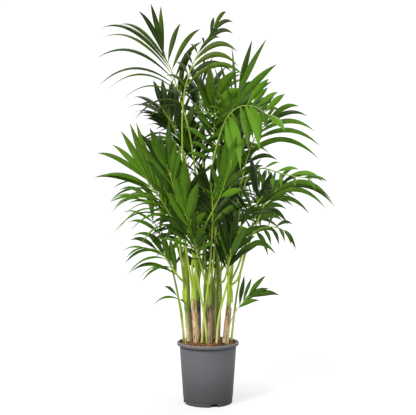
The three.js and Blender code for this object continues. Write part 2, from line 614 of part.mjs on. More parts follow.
// Leaflets stop short of any neighbour that they would grow into, and one with no room at all is left out.
function frondSolid(name, frond, stalk, seed) {
  let solid = stalk;
  for (const ends of leafletEnds(frond, frondLine(frond), seed)) {
    const reach = REACHES.find((share) => isClear(name, leafletSolid(frond, ends, share, LEAFLET_CLEARANCE)));
    if (reach) {
      const leaflet = leafletSolid(frond, ends, reach, 0);
      place(name, leafletSolid(frond, ends, reach, 0));
      solid = solid.add(leaflet);
    }
  }
  return solid;
}

const palm = new THREE.Group();
function addPiece(name, solid, look) {
  const finish = new THREE.MeshStandardMaterial({ ...COLOURS[look], metalness: 0 });
  const mesh = new THREE.Mesh(geometryOf(solid), finish);
  mesh.name = name;
  palm.add(mesh);
}

addPiece('grow_pot', potSolid(), 'pot');
addPiece('potting_soil', soilSolid(), 'soil');
for (const [name, stem] of Object.entries(STEMS)) {
  const solid = stemSolid(stem);
  place(name, solid);
  addPiece(name, solid, 'stem');
  if (stem.sheath > 0) {
    const sheath = sheathSolid(stem);
    place(name, sheath);
    addPiece(name.replace('stem', 'dry_sheath'), sheath, 'sheath');
  }
}

const stalks = {};
for (const [name, frond] of Object.entries(FRONDS)) {
  stalks[name] = solidOf(rod(frondLine(frond), stalkRadius(frond), stalkShares(frond), PETIOLE_SIDES));
  place(name, stalks[name]);
}
Object.entries(FRONDS).forEach(([name, frond], index) => {
  addPiece(name, frondSolid(name, frond, stalks[name], 31 * index), frond.young ? 'young' : 'leaf');
});

export default palm;
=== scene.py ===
"""A clump of young feather palms in a plastic grow pot, built as an add-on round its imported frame."""

import math
import random

import bmesh
import bpy
from bpy.props import FloatProperty, FloatVectorProperty, IntProperty, PointerProperty
from mathutils import Matrix, Vector, noise


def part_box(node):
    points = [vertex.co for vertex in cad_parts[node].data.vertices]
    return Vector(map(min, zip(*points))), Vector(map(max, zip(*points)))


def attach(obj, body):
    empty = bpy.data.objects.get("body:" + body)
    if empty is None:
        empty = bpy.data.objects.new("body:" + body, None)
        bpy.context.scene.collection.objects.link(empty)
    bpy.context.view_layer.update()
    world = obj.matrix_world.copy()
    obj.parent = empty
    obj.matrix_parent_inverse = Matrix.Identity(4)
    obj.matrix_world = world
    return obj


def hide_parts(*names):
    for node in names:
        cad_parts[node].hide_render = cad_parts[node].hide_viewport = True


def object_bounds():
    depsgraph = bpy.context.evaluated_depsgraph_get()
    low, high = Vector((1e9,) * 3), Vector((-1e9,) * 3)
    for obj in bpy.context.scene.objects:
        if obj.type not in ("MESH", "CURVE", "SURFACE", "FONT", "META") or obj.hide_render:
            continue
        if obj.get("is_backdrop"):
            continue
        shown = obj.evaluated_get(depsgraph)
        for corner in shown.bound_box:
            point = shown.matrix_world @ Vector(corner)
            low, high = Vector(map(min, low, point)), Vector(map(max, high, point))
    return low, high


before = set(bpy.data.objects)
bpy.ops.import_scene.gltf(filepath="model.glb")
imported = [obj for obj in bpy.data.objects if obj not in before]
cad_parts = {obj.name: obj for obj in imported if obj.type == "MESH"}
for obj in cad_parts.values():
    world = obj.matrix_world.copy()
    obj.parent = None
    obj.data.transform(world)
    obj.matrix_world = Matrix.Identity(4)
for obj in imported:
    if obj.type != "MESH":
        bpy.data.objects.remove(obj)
CAD_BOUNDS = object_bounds()

bl_info = {
    "name": "Potted palm",
    "version": (1, 0, 0),
    "blender": (4, 5, 0),
    "location": "3D View > Sidebar > Potted palm",
    "description": "Builds a clump of feather palms in a grow pot, and its studio",
    "category": "Add Mesh",
}

MM = 0.001
RIGHT = Vector((1, 0, 0))
BACK = Vector((0, 1, 0))
UP = Vector((0, 0, 1))
POT_LOW, POT_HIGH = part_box("grow_pot")
RIM_RADIUS = (POT_HIGH[0] - POT_LOW[0]) / 2
POT_HEIGHT = POT_HIGH[2]
SOIL_LOW, SOIL_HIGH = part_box("potting_soil")
SOIL_RADIUS = (SOIL_HIGH[0] - SOIL_LOW[0]) / 2
SOIL_TOP = SOIL_HIGH[2]

# The lists below are in millimetres, and turns are in degrees from the right.
# A stem leaves the soil at base and ends at top. Sheath is the height of its oldest leaf's dry remains, and
# coat is the turns that they stand between.
STEMS = {
    1: dict(base=(-72, -6), top=(-88, -6, 430), sheath=0),
    2: dict(base=(-44, -40), top=(-54, -46, 416), sheath=404, coat=(195, 310)),
    3: dict(base=(-36, 26), top=(-40, 32, 440), sheath=392, coat=(150, 330)),
    4: dict(base=(8, -34), top=(4, -38, 424), sheath=396, coat=(210, 340)),
    5: dict(base=(20, 40), top=(22, 46, 432), sheath=0),
    6: dict(base=(38, -2), top=(44, 0, 430), sheath=0),
    7: dict(base=(62, -36), top=(84, -44, 430), sheath=385, coat=(215, 345)),
    8: dict(base=(70, 24), top=(86, 30, 424), sheath=360, coat=(190, 370)),
    9: dict(base=(-8, 74), top=(-8, 86, 436), sheath=0),
    10: dict(base=(-68, 48), top=(-82, 58, 428), sheath=374, coat=(180, 380)),
}

# A frond starts at a seat, a turn round the top of a stem, or at a base in the soil. Its stalk runs via
# points, and has no leaflets along its first share, bare. Left and right are where its leaflets' tips are, seen
# from the front (x, z), and depth is how far each side's tips stand forward of the stalk. A frond without them
# has pairs of leaflets about as long as long says, which hang by droop. Fill puts shorter ones in between.
# Width is a leaflet's greatest breadth, and slender the greatest share of its length that it may be. Arch is
# how far leaflets bow up, front how much the leaf faces the front, thin the share of the usual thickness that
# its stalk has, and tone how light the leaf is.
FROND_DEFAULTS = dict(
    width=30, slender=0.17, arch=0.3, front=0.5, droop=0.3, fill=0, thin=1, tone=0.2, young=False)
FRONDS = {
    "high_left": dict(
        stem=3, seat=190, bare=0.74, width=20, arch=0.42, depth=(50, -40), front=1.1, tone=0.35,
        via=[(-38, 16, 650), (-42, 10, 810), (-56, 6, 950), (-76, 4, 1065), (-112, 0, 1195),
        (-146, -4, 1300), (-178, -8, 1362)],
        left=[(-232, 1094), (-285, 1088), (-335, 1160), (-385, 1207), (-427, 1217), (-432, 1325),
              (-405, 1405), (-410, 1445), (-337, 1458), (-267, 1510), (-220, 1540)],
        right=[(-80, 1290), (-92, 1335), (-60, 1372), (-20, 1412), (-27, 1460), (-107, 1485),
               (-185, 1552)]),
    "high_middle": dict(
        stem=1, seat=60, bare=0.7, width=22, arch=0.5, depth=(-30, 40), front=0.9, tone=0.35,
        via=[(-92, -4, 600), (-95, -12, 800), (-99, -22, 1000), (-98, -32, 1120), (-84, -40, 1230),
        (-45, -44, 1335), (25, -50, 1445)],
        left=[(-190, 1190), (-172, 1262), (-128, 1320), (-100, 1352), (-72, 1390), (-25, 1415), (22, 1495)],
        right=[(60, 1150), (140, 1252), (95, 1268), (115, 1290), (112, 1345), (45, 1400), (95, 1416),
               (95, 1458), (70, 1495)]),
    "crown_right": dict(
        stem=5, seat=200, bare=0.7, arch=0.16, depth=(-20, 50), tone=0.7,
        via=[(6, 30, 620), (3, 8, 800), (24, -15, 930), (58, -30, 1060), (94, -40, 1135), (122, -45, 1195)],
        left=[(-52, 1130), (-35, 1175), (-12, 1260), (15, 1325), (45, 1318), (90, 1385)],
        right=[(150, 1090), (205, 1150), (243, 1236), (262, 1300), (222, 1395), (167, 1392)]),
    "arching_right": dict(
        stem=6, seat=30, bare=0.745, width=33, slender=0.21, arch=0.24, depth=(56, 88), fill=1, tone=0.85,
        via=[(42, -2, 540), (24, -40, 680), (6, -84, 820), (22, -104, 940), (42, -112, 1020),
        (74, -118, 1098),
        (118, -124, 1134), (172, -134, 1134), (228, -150, 1094)],
        left=[(-40, 1105), (20, 1190), (120, 1225), (222, 1228), (256, 1178), (280, 1170)],
        right=[(84, 900), (112, 935), (146, 965), (190, 1000), (214, 1040), (276, 1030)]),
    "right_high": dict(
        stem=8, seat=80, bare=0.7, width=20, arch=0.36, depth=(-60, 50), front=0.8, tone=0.5,
        via=[(100, 44, 600), (112, 20, 750), (132, -36, 870), (154, -62, 962), (178, -76, 1022),
        (228, -84, 1085)],
        left=[(60, 1020), (78, 1090), (110, 1120), (160, 1130), (220, 1150), (262, 1140)],
        right=[(262, 935), (350, 987), (415, 938), (420, 985), (398, 1040), (372, 1098), (340, 1132)]),
    "right_middle": dict(
        stem=7, seat=0, bare=0.74, width=19, arch=0.46, depth=(-50, 50), front=0.8, tone=0.4,
        via=[(112, -56, 480), (146, -66, 590), (182, -76, 690), (216, -84, 770), (262, -90, 832)],
        left=[(150, 800), (165, 850), (200, 872), (262, 900), (330, 905)],
        right=[(300, 690), (380, 730), (438, 752), (475, 757), (462, 778), (430, 850)]),
    "right_arching": dict(
        stem=8, seat=320, bare=0.66, width=18, arch=0.25, depth=(40, 60), tone=0.9,
        via=[(104, 8, 600), (128, -20, 780), (156, -80, 880), (200, -130, 903), (284, -170, 878),
        (380, -190, 862)],
        left=[(200, 938), (262, 922), (330, 895), (400, 868), (432, 850)],
        right=[(214, 806), (240, 822), (262, 826), (312, 830), (386, 812)]),
    "right_low": dict(
        stem=7, seat=90, bare=0.61, width=19, arch=0.41, depth=(-44, 46), front=0.8, tone=0.3,
        via=[(116, -32, 530), (150, -26, 620), (182, -28, 664), (222, -34, 680), (266, -40, 680),
        (306, -45, 660)],
        left=[(120, 720), (200, 752), (272, 755), (330, 690), (343, 592)],
        right=[(228, 573), (240, 610), (270, 612), (290, 625), (314, 615)]),
    "left_high": dict(
        stem=1, seat=180, bare=0.62, width=27, arch=0.22, depth=(60, -20), front=0.8, tone=0.8,
        via=[(-104, -22, 560), (-118, -40, 670), (-150, -60, 740), (-198, -75, 815), (-237, -85, 872)],
        left=[(-262, 700), (-300, 772), (-368, 775), (-427, 868), (-402, 872), (-415, 959)],
        right=[(-120, 900), (-165, 985), (-218, 1046), (-275, 1084), (-300, 1081), (-334, 1051),
               (-367, 997)]),
    "left_upright": dict(
        stem=2, seat=180, bare=0.62, width=28, arch=0.12, depth=(50, 20), fill=1, tone=0.4,
        via=[(-78, -62, 560), (-92, -80, 660), (-112, -100, 760), (-136, -120, 860), (-160, -135, 930)],
        left=[(-220, 850), (-232, 935), (-262, 1000), (-250, 1030), (-215, 1050)],
        right=[(-62, 800), (-85, 945), (-100, 985), (-145, 1085), (-180, 1035)]),
    "left_drooping": dict(
        stem=10, seat=270, bare=0.5, width=20, arch=0.5, depth=(70, 0), front=0.8, tone=0.8,
        via=[(-98, 30, 560), (-118, -15, 650), (-152, -50, 712), (-200, -80, 760), (-250, -100, 775)],
        left=[(-222, 640), (-262, 600), (-374, 631), (-345, 655), (-365, 725), (-350, 748)],
        right=[(-150, 850), (-205, 880), (-290, 850), (-340, 820), (-368, 778)]),
    "left_low": dict(
        stem=1, seat=300, bare=0.28, width=27, arch=0.4, depth=(60, -20), front=0.8, tone=0.5,
        via=[(-112, -50, 490), (-142, -60, 535), (-172, -66, 578), (-208, -70, 598), (-240, -72, 592)],
        left=[(-293, 512), (-250, 475), (-303, 503), (-312, 545), (-306, 566)],
        right=[(-146, 640), (-180, 668), (-240, 660), (-300, 630), (-332, 585)]),
    "front_middle": dict(
        stem=2, seat=300, bare=0.78, width=42, slender=0.24, arch=0.08, depth=(60, 50), fill=1, tone=0.65,
        via=[(-60, -84, 540), (-44, -104, 620), (-12, -126, 690), (18, -146, 745), (50, -166, 813),
        (72, -180, 880)],
        left=[(-28, 830), (6, 915), (36, 985), (62, 1000)],
        right=[(124, 820), (138, 900), (132, 1010), (104, 1015)]),
    "front_low": dict(
        stem=6, seat=270, bare=0.55, width=38, arch=0.1, depth=(50, 50), fill=1, tone=0.3,
        via=[(62, -60, 480), (74, -98, 530), (84, -122, 570), (86, -138, 600)],
        left=[(20, 640), (28, 715), (50, 752)],
        right=[(144, 602), (144, 680), (112, 752)]),
    "front_short": dict(
        stem=4, seat=230, bare=0.6, width=36, arch=0.2, depth=(50, 60), fill=1, tone=0.3,
        via=[(-14, -80, 490), (-32, -112, 560), (-46, -132, 600), (-52, -146, 640)],
        left=[(-70, 560), (-84, 640), (-78, 715)],
        right=[(-4, 512), (28, 625), (0, 700), (-50, 748)]),
    "middle_dark": dict(
        stem=3, seat=310, bare=0.66, width=44, slender=0.22, arch=0.12, depth=(10, 10), fill=1, tone=0.0,
        via=[(-18, -4, 580), (-12, 10, 720), (-22, 24, 830), (-45, 36, 930), (-70, 44, 1010)],
        left=[(-130, 860), (-150, 960), (-160, 1060), (-130, 1110)],
        right=[(20, 850), (40, 930), (20, 1040), (-10, 1100), (-60, 1140)]),
    "middle_low": dict(
        stem=4, seat=20, bare=0.66, width=40, slender=0.21, arch=0.15, depth=(20, 20), fill=1,
        via=[(20, -50, 540), (28, -62, 640), (34, -72, 720), (30, -78, 800)],
        left=[(-50, 720), (-40, 800), (-20, 880), (10, 920)],
        right=[(100, 720), (110, 800), (90, 870), (60, 910)]),
    "middle_right": dict(
        stem=6, seat=150, bare=0.66, width=40, slender=0.21, arch=0.15, depth=(0, 10), fill=1,
        via=[(36, 22, 600), (60, 20, 740), (86, 10, 840), (104, 0, 920), (112, -6, 980)],
        left=[(0, 900), (30, 980), (50, 1060), (90, 1100)],
        right=[(190, 850), (215, 920), (205, 1000), (180, 1060), (140, 1110)]),
    "back_high": dict(
        stem=9, seat=270, bare=0.66, width=32, pairs=8, long=235, fill=1,
        via=[(-8, 110, 650), (-12, 130, 850), (-16, 160, 1030), (-10, 200, 1160), (0, 250, 1240)]),
    "back_left": dict(
        stem=10, seat=30, bare=0.62, pairs=7, long=205, fill=1,
        via=[(-92, 84, 650), (-104, 110, 860), (-118, 140, 1010), (-140, 180, 1110), (-165, 225, 1170)]),
    "back_right": dict(
        stem=5, seat=60, bare=0.64, pairs=7, long=200, fill=1, tone=0.25,
        via=[(44, 90, 640), (66, 118, 850), (94, 150, 1010), (130, 190, 1110), (170, 235, 1170)]),
    "back_low": dict(
        stem=9, seat=30, bare=0.58, width=32, pairs=6, long=200, fill=1,
        via=[(10, 130, 560), (22, 180, 680), (34, 240, 770), (44, 300, 820)]),
    "back_side": dict(
        stem=10, seat=150, bare=0.58, arch=0.36, pairs=5, long=190, tone=0.5,
        via=[(-112, 78, 560), (-150, 108, 700), (-200, 150, 800), (-250, 195, 850)]),
    "back_corner": dict(
        stem=5, seat=320, bare=0.58, pairs=6, long=170, fill=1, tone=0.25,
        via=[(84, 74, 560), (140, 114, 700), (190, 165, 800), (235, 215, 845)]),
    "back_short": dict(
        stem=9, seat=150, bare=0.55, pairs=5, long=180, fill=1,
        via=[(-30, 120, 540), (-50, 165, 640), (-74, 215, 710), (-100, 265, 750)]),
    "inner_left": dict(
        stem=3, seat=70, bare=0.6, pairs=8, long=200, fill=1, tone=0.15,
        via=[(-34, 46, 600), (-58, 54, 800), (-94, 62, 960), (-136, 72, 1080), (-182, 90, 1150)]),
    "inner_low": dict(
        stem=2, seat=60, bare=0.55, arch=0.25, pairs=6, long=165, fill=1, droop=0.4, tone=0.15,
        via=[(-48, -34, 560), (-62, -36, 680), (-84, -40, 780), (-116, -50, 860)]),
    "inner_tall": dict(
        stem=4, seat=120, bare=0.62, width=32, arch=0.25, pairs=8, long=215, fill=1, droop=0.6, tone=0.12,
        via=[(-14, -20, 600), (-16, 2, 800), (-22, 18, 980), (-30, 32, 1120), (-36, 46, 1250)]),
    "front_right": dict(
        stem=7, seat=225, bare=0.72, width=44, slender=0.25, arch=0.1, depth=(40, 40), fill=1, tone=0.05,
        via=[(80, -64, 540), (102, -88, 630), (136, -116, 710), (172, -140, 760), (204, -156, 800)],
        left=[(60, 800), (92, 880), (152, 950)],
        right=[(236, 740), (252, 812), (234, 887)]),
    "inner_right": dict(
        stem=8, seat=200, bare=0.6, pairs=8, long=200, fill=1, tone=0.25,
        via=[(74, 30, 600), (68, 40, 780), (70, 52, 940), (84, 66, 1080), (106, 84, 1180)]),
    "shoot_crossing": dict(
        base=(-2, -66), bare=0.7, width=38, slender=0.22, arch=0.15, depth=(50, 50), fill=1, tone=0.5,
        via=[(-12, -74, 330), (-28, -90, 430), (-50, -108, 540), (-70, -120, 660), (-84, -128, 750)],
        left=[(-182, 640), (-176, 730), (-158, 820), (-128, 880)],
        right=[(2, 640), (-6, 740), (-36, 850), (-84, 930)]),
    "shoot_middle": dict(
        base=(-24, -54), bare=0.62, width=32, arch=0.2, pairs=6, long=150, fill=1, droop=0.1, tone=0.35,
        via=[(-16, -58, 340), (0, -84, 460), (12, -106, 600), (18, -122, 740), (10, -138, 850)]),
    "shoot_tall": dict(
        base=(-6, 6), bare=0.72, width=42, slender=0.26, arch=0.15, depth=(60, 60), front=0.9, fill=1,
        tone=0.75,
        via=[(-4, 6, 400), (10, 4, 600), (16, -12, 800), (20, -30, 960), (24, -50, 1080), (30, -66, 1190)],
        left=[(-80, 960), (-90, 1060), (-70, 1160), (-44, 1250), (0, 1300)],
        right=[(110, 980), (136, 1080), (132, 1180), (104, 1270)]),
    "shoot_right": dict(
        base=(32, -60), bare=0.62, width=34, slender=0.22, arch=0.15, depth=(40, 40), fill=1, tone=0.25,
        via=[(40, -70, 330), (66, -74, 440), (98, -80, 560), (114, -102, 640), (124, -118, 700)],
        left=[(50, 650), (62, 740), (92, 800)],
        right=[(196, 620), (190, 690), (176, 770)]),
    "shoot_side": dict(
        base=(90, 0), bare=0.6, width=24, arch=0.4, pairs=5, long=150, tone=0.35,
        via=[(110, 6, 400), (140, 20, 560), (174, 40, 690), (214, 66, 770)]),
    "shoot_back": dict(
        base=(34, 84), bare=0.5, pairs=6, long=170, fill=1,
        via=[(44, 112, 380), (58, 152, 560), (68, 196, 720), (76, 246, 840)]),
    "shoot_corner": dict(
        base=(-58, 78), bare=0.5, pairs=7, long=180, fill=1,
        via=[(-76, 106, 400), (-96, 146, 600), (-116, 192, 760), (-134, 246, 880)]),
    "shoot_left": dict(
        base=(-92, 10), bare=0.5, width=28, arch=0.36, pairs=5, long=170, tone=0.7,
        via=[(-112, 14, 380), (-142, 22, 520), (-182, 34, 640), (-226, 50, 720)]),
    "shoot_behind": dict(
        base=(30, 66), bare=0.5, width=36, slender=0.22, arch=0.2, pairs=6, long=180, fill=1, droop=0.3,
        tone=0.0,
        via=[(34, 72, 330), (36, 78, 480), (28, 86, 620), (14, 96, 760)]),
    "shoot_hidden": dict(
        base=(-44, 76), bare=0.5, width=36, slender=0.22, arch=0.2, pairs=6, long=180, fill=1, droop=0.3,
        tone=0.0,
        via=[(-46, 80, 330), (-48, 84, 480), (-50, 92, 620), (-54, 104, 760)]),
    "seedling_right": dict(
        base=(76, -62), bare=0.62, width=34, slender=0.2, arch=0.2, depth=(10, 10), thin=0.5, young=True,
        tone=0.3,
        via=[(86, -68, 320), (108, -74, 365), (138, -78, 402), (160, -80, 420)],
        left=[(100, 405), (137, 500), (165, 492), (218, 500)],
        right=[(195, 405), (230, 450), (270, 425)]),
    "seedling_left": dict(
        base=(-84, -44), bare=0.82, width=28, slender=0.24, arch=0.45, depth=(10, 0), thin=0.5, young=True,
        tone=0.4,
        via=[(-94, -50, 300), (-98, -54, 350), (-108, -58, 400), (-122, -60, 424)],
        left=[(-214, 378)],
        right=[(-80, 380), (-168, 453)]),
}


# What the fronds share: sizes in metres, turns in degrees, and shares of a length.
SEAT_RADIUS = 5.4 * MM
STALK_LIFT = 1.5 * MM
STALK_RISE = 25 * MM
STALK_ROOTED = 40 * MM
PETIOLE_RADIUS = 4.4 * MM
RACHIS_TIP_RADIUS = 1.3 * MM
STALK_TAPER = 2
STALK_RINGS = 46
STALK_SIDES = 10
LEAFLET_RINGS = 15
LEFT_OFFSET, RIGHT_OFFSET = 0.35, 0.65
LOW_SPREAD_DEG, HIGH_SPREAD_DEG, SPREAD_CHANCE_DEG = 68, 22, 8
END_LENGTH, MIDDLE_LENGTH, LENGTH_CHANCE = 0.72, 0.36, 0.08
DEPTH_CHANCE = 8
BETWEEN_LENGTH, BETWEEN_CHANCE = 0.86, 0.1
BETWEEN_STRAY = Vector((0.1, -0.25, -0.2))
BOW_ALONG = 0.08
TWIST_DEG, TWIST_CHANCE_DEG, TIP_TWIST_DEG = 24, 8, 14
TONE_CHANCE = 0.4
FROND_SEED_STEP = 31
# Round a leaflet's section: how far each point is from the midrib, and 1 on its upper side, -1 on its lower.
ACROSS = (-1, -0.5, 0, 0.5, 1, 0.5, 0, -0.5)
TOP_SIDE = (0, 1, 1, 1, 0, -1, -1, -1)
# The bake map gives each tube one column, with the tube's two ends in discs below and above it.
COLUMN_WIDE = 0.94
COLUMN_FOOT, COLUMN_HIGH = 0.02, 0.94
END_HEIGHTS = (0.008, 0.972)
END_WIDE, END_HIGH = 0.3, 0.006


def mix(a, b, share):
    return a + (b - a) * share


def wobble(seed):
    """A steady stand-in for chance, from -1 to 1."""
    value = math.sin(seed * 12.9898) * 43758.5453
    return 2 * (value - math.floor(value)) - 1


def add_object(name, data):
    """A new object in the scene."""
    thing = bpy.data.objects.new(name, data)
    bpy.context.scene.collection.objects.link(thing)
    return thing


class Skin:
    """Gathers closed tubes of rings into one mesh, with its bake map and its paint values."""

    def __init__(self, cells):
        self.cells = cells
        self.used = 0
        self.points, self.faces, self.corners = [], [], []
        self.strip, self.tone, self.slots = [], [], []

    def tube(self, rings, marks, tone, slot=0):
        """Adds equal rings of points as a closed tube. A mark is each point's (across, along, spare)."""
        start, sides, last = len(self.points), len(rings[0]), len(rings) - 1
        left = self.used / self.cells
        wide = COLUMN_WIDE / self.cells
        self.used += 1
        for ring, ring_marks in zip(rings, marks, strict=True):
            self.points.extend(ring)
            self.strip.extend(ring_marks)
        self.tone.extend([tone] * (sides * len(rings)))
        for r in range(last):
            v0, v1 = COLUMN_FOOT + COLUMN_HIGH * r / last, COLUMN_FOOT + COLUMN_HIGH * (r + 1) / last
            for i in range(sides):
                a, b = start + r * sides + i, start + r * sides + (i + 1) % sides
                self.faces.append((a, b, b + sides, a + sides))
                u0, u1 = left + wide * i / sides, left + wide * (i + 1) / sides
                self.corners.extend([(u0, v0), (u1, v0), (u1, v1), (u0, v1)])
        foot = [start + i for i in reversed(range(sides))]
        head = [start + last * sides + i for i in range(sides)]
        for face, v in zip((foot, head), END_HEIGHTS, strict=True):
            self.faces.append(tuple(face))
            for i in range(sides):
                turn = math.tau * i / sides
                u = left + wide / 2 + END_WIDE * wide * math.cos(turn)
                self.corners.append((u, v + END_HIGH * math.sin(turn)))
        self.slots.extend([slot] * (sides * last + len(END_HEIGHTS)))

    def finish(self, name, materials, sharp_deg=50):
        """The mesh as an object, with sharp edges where its faces meet at more than an angle."""
        mesh = bpy.data.meshes.new(name)
        mesh.from_pydata(self.points, [], self.faces)
        mesh.uv_layers.new(name="OFBake")
        bake = mesh.uv_layers["OFBake"].data
        bake.foreach_set("uv", [value for corner in self.corners for value in corner])
        strip = mesh.attributes.new("strip", "FLOAT_VECTOR", "POINT")
        strip.data.foreach_set("vector", [value for mark in self.strip for value in mark])
        mesh.attributes.new("tone", "FLOAT", "POINT").data.foreach_set("value", self.tone)
        for material in materials:
            mesh.materials.append(material)
        mesh.polygons.foreach_set("material_index", self.slots)
        mesh.shade_smooth()
        mesh.set_sharp_from_angle(angle=math.radians(sharp_deg))
        mesh.update()
        return add_object(name, mesh)


def settle(piece, node):
    """Puts a piece in a node's place: it rides on the only body, and the node's own part is hidden."""
    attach(piece, "root")
    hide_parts(node)


def circle(centre, across, out, radius, sides, squash=1.0):
    """A ring of points, running the right way round for a tube that goes along across x out."""
    turns = (math.tau * i / sides for i in range(sides))
    return [centre + across * (radius * math.cos(turn)) + out * (radius * squash * math.sin(turn))
            for turn in turns]


def hoop(radius, height, sides):
    """A level ring of points round the pot's axis."""
    return circle(UP * height, RIGHT, BACK, radius, sides)


def way_round(turn):
    """The level direction at a turn from the right."""
    return Vector((math.cos(turn), math.sin(turn), 0))


class Line:
    """A smooth line through points, read by the share of its length."""

    def __init__(self, points, steps=20):
        ends = [points[0] * 2 - points[1], *points, points[-1] * 2 - points[-2]]
        self.dots = [points[0]]
        for p0, p1, p2, p3 in zip(ends, ends[1:], ends[2:], ends[3:], strict=False):
            gap0, gap1, gap2 = (math.sqrt((b - a).length) for a, b in ((p0, p1), (p1, p2), (p2, p3)))
            leave = ((p1 - p0) / gap0 - (p2 - p0) / (gap0 + gap1) + (p2 - p1) / gap1) * gap1
            arrive = ((p2 - p1) / gap1 - (p3 - p1) / (gap1 + gap2) + (p3 - p2) / gap2) * gap1
            for step in range(1, steps + 1):
                t = step / steps
                bend = p2 * 3 - p1 * 3 - leave * 2 - arrive
                self.dots.append(p1 + leave * t + bend * t**2 + (p1 * 2 - p2 * 2 + leave + arrive) * t**3)
        self.reach = [0.0]
        for a, b in zip(self.dots, self.dots[1:], strict=False):
            self.reach.append(self.reach[-1] + (b - a).length)

    def at(self, share):
        """The point and the direction at a share of the length."""
        goal = min(max(share, 0), 1) * self.reach[-1]
        i = next((i for i, reach in enumerate(self.reach[1:]) if reach >= goal), len(self.dots) - 2)
        a, b = self.dots[i], self.dots[i + 1]
        part = (goal - self.reach[i]) / (self.reach[i + 1] - self.reach[i])
        return a.lerp(b, part), (b - a).normalized()


# ---------------------------------------------------------------- paint

def maths(operation, reflected=False):
    """A method that adds one Math node. Reflected puts the other value before the socket."""
    def method(self, *others):
        values = (*others, self) if reflected else (self, *others)
        return self.paint.add("ShaderNodeMath", {"operation": operation}, dict(enumerate(values)))

    return method


class Value:
    """A shader socket that arithmetic can be written on."""

    def __init__(self, paint, socket):
        self.paint, self.socket = paint, socket

    __add__ = __radd__ = maths("ADD")
    __mul__ = __rmul__ = maths("MULTIPLY")
    __sub__ = maths("SUBTRACT")
    __rsub__ = maths("SUBTRACT", reflected=True)
    __abs__ = maths("ABSOLUTE")
    sine = maths("SINE")
    most = maths("MAXIMUM")

    def above(self, low, high):
        """0 under low, 1 over high, smooth between them."""
        return self.paint.add("ShaderNodeMapRange", {"interpolation_type": "SMOOTHSTEP"},
                              {"Value": self, "From Min": low, "From Max": high})


class Paint:
    """One material. Constants are set on its shader, and one method adds any other node."""

    def __init__(self, name, **constants):
        self.material = bpy.data.materials.new(name)
        self.material.use_nodes = True
        self.tree = self.material.node_tree
        self.shader = self.tree.nodes["Principled BSDF"]
        for word, value in constants.items():
            self.shader.inputs[word.replace("_", " ").title().replace("Ior", "IOR")].default_value = value

    def add(self, kind, settings=None, values=None, output=0):
        """A node, from its kind, its settings, and the values or links of its sockets."""
        node = self.tree.nodes.new(kind)
        for word, value in (settings or {}).items():
            setattr(node, word, value)
        for word, value in (values or {}).items():
            self.feed(node.inputs[word], value)
        return Value(self, node.outputs[output])

    def feed(self, socket, value):
        """Links a socket to a value, or sets it to a constant."""
        if isinstance(value, Value):
            self.tree.links.new(value.socket, socket)
        elif socket.type == "RGBA":
            socket.default_value = (*value[:3], 1)
        else:
            socket.default_value = value

    def parts(self, vector):
        """The three numbers of a vector."""
        return [self.add("ShaderNodeSeparateXYZ", None, {0: vector}, output=i) for i in range(3)]

    def place(self):
        """Where a point is in the object's own space."""
        return self.add("ShaderNodeTexCoord", output="Object")

    def strip(self):
        """The three numbers of the marks that a tube carries."""
        return self.parts(self.add("ShaderNodeAttribute", {"attribute_name": "strip"}, output="Vector"))

    def tone(self):
        """The tone that a tube carries."""
        return self.add("ShaderNodeAttribute", {"attribute_name": "tone"}, output="Fac")

    def blend(self, share, a, b):
        """Two colours mixed by a share. Sockets 6 and 7 and output 2 are a Mix node's colours."""
        return self.add("ShaderNodeMix", {"data_type": "RGBA"}, {0: share, 6: a, 7: b}, output=2)

    def coats(self, base, *coats):
        """A colour under coats of others. A coat is its share and its colour."""
        for share, colour in coats:
            base = self.blend(share, base, colour)
        return base

    def noise(self, scale, detail=3, stretch=None, roughness=0.55):
        """Cloudy noise in the object's own space, with an optional stretch."""
        place = self.place()
        if stretch:
            place = self.add("ShaderNodeMapping", None, {"Vector": place, "Scale": stretch})
        values = {"Vector": place, "Scale": scale, "Detail": detail, "Roughness": roughness}
        return self.add("ShaderNodeTexNoise", None, values)

    def painted_clump_shade(self):
        """One inside the clump, where painted shade darkens the stems. It fades outwards and upwards."""
        x, y, z = self.parts(self.place())
        return (1 - (x * x + y * y).above((30 * MM) ** 2, (60 * MM) ** 2)) * (1 - z.above(0.4, 0.75))

    def bump(self, height, strength, distance):
        """Raises the surface by a height, and gives the normal."""
        values = {"Height": height, "Strength": strength, "Distance": distance}
        return self.add("ShaderNodeBump", None, values)

    def wear(self, **varying):
        """Links what changes over the surface to the shader."""
        for word, value in varying.items():
            self.feed(self.shader.inputs[word.replace("_", " ").title()], value)
        return self.material

    def lit_through(self, colour, share):
        """Lets some light through, as a thin leaf does."""
        glow = self.add("ShaderNodeBsdfTranslucent", None, {"Color": colour})
        skin = Value(self, self.shader.outputs[0])
        both = self.add("ShaderNodeMixShader", None, {0: share, 1: skin, 2: glow})
        self.tree.links.new(both.socket, self.tree.nodes["Material Output"].inputs["Surface"])


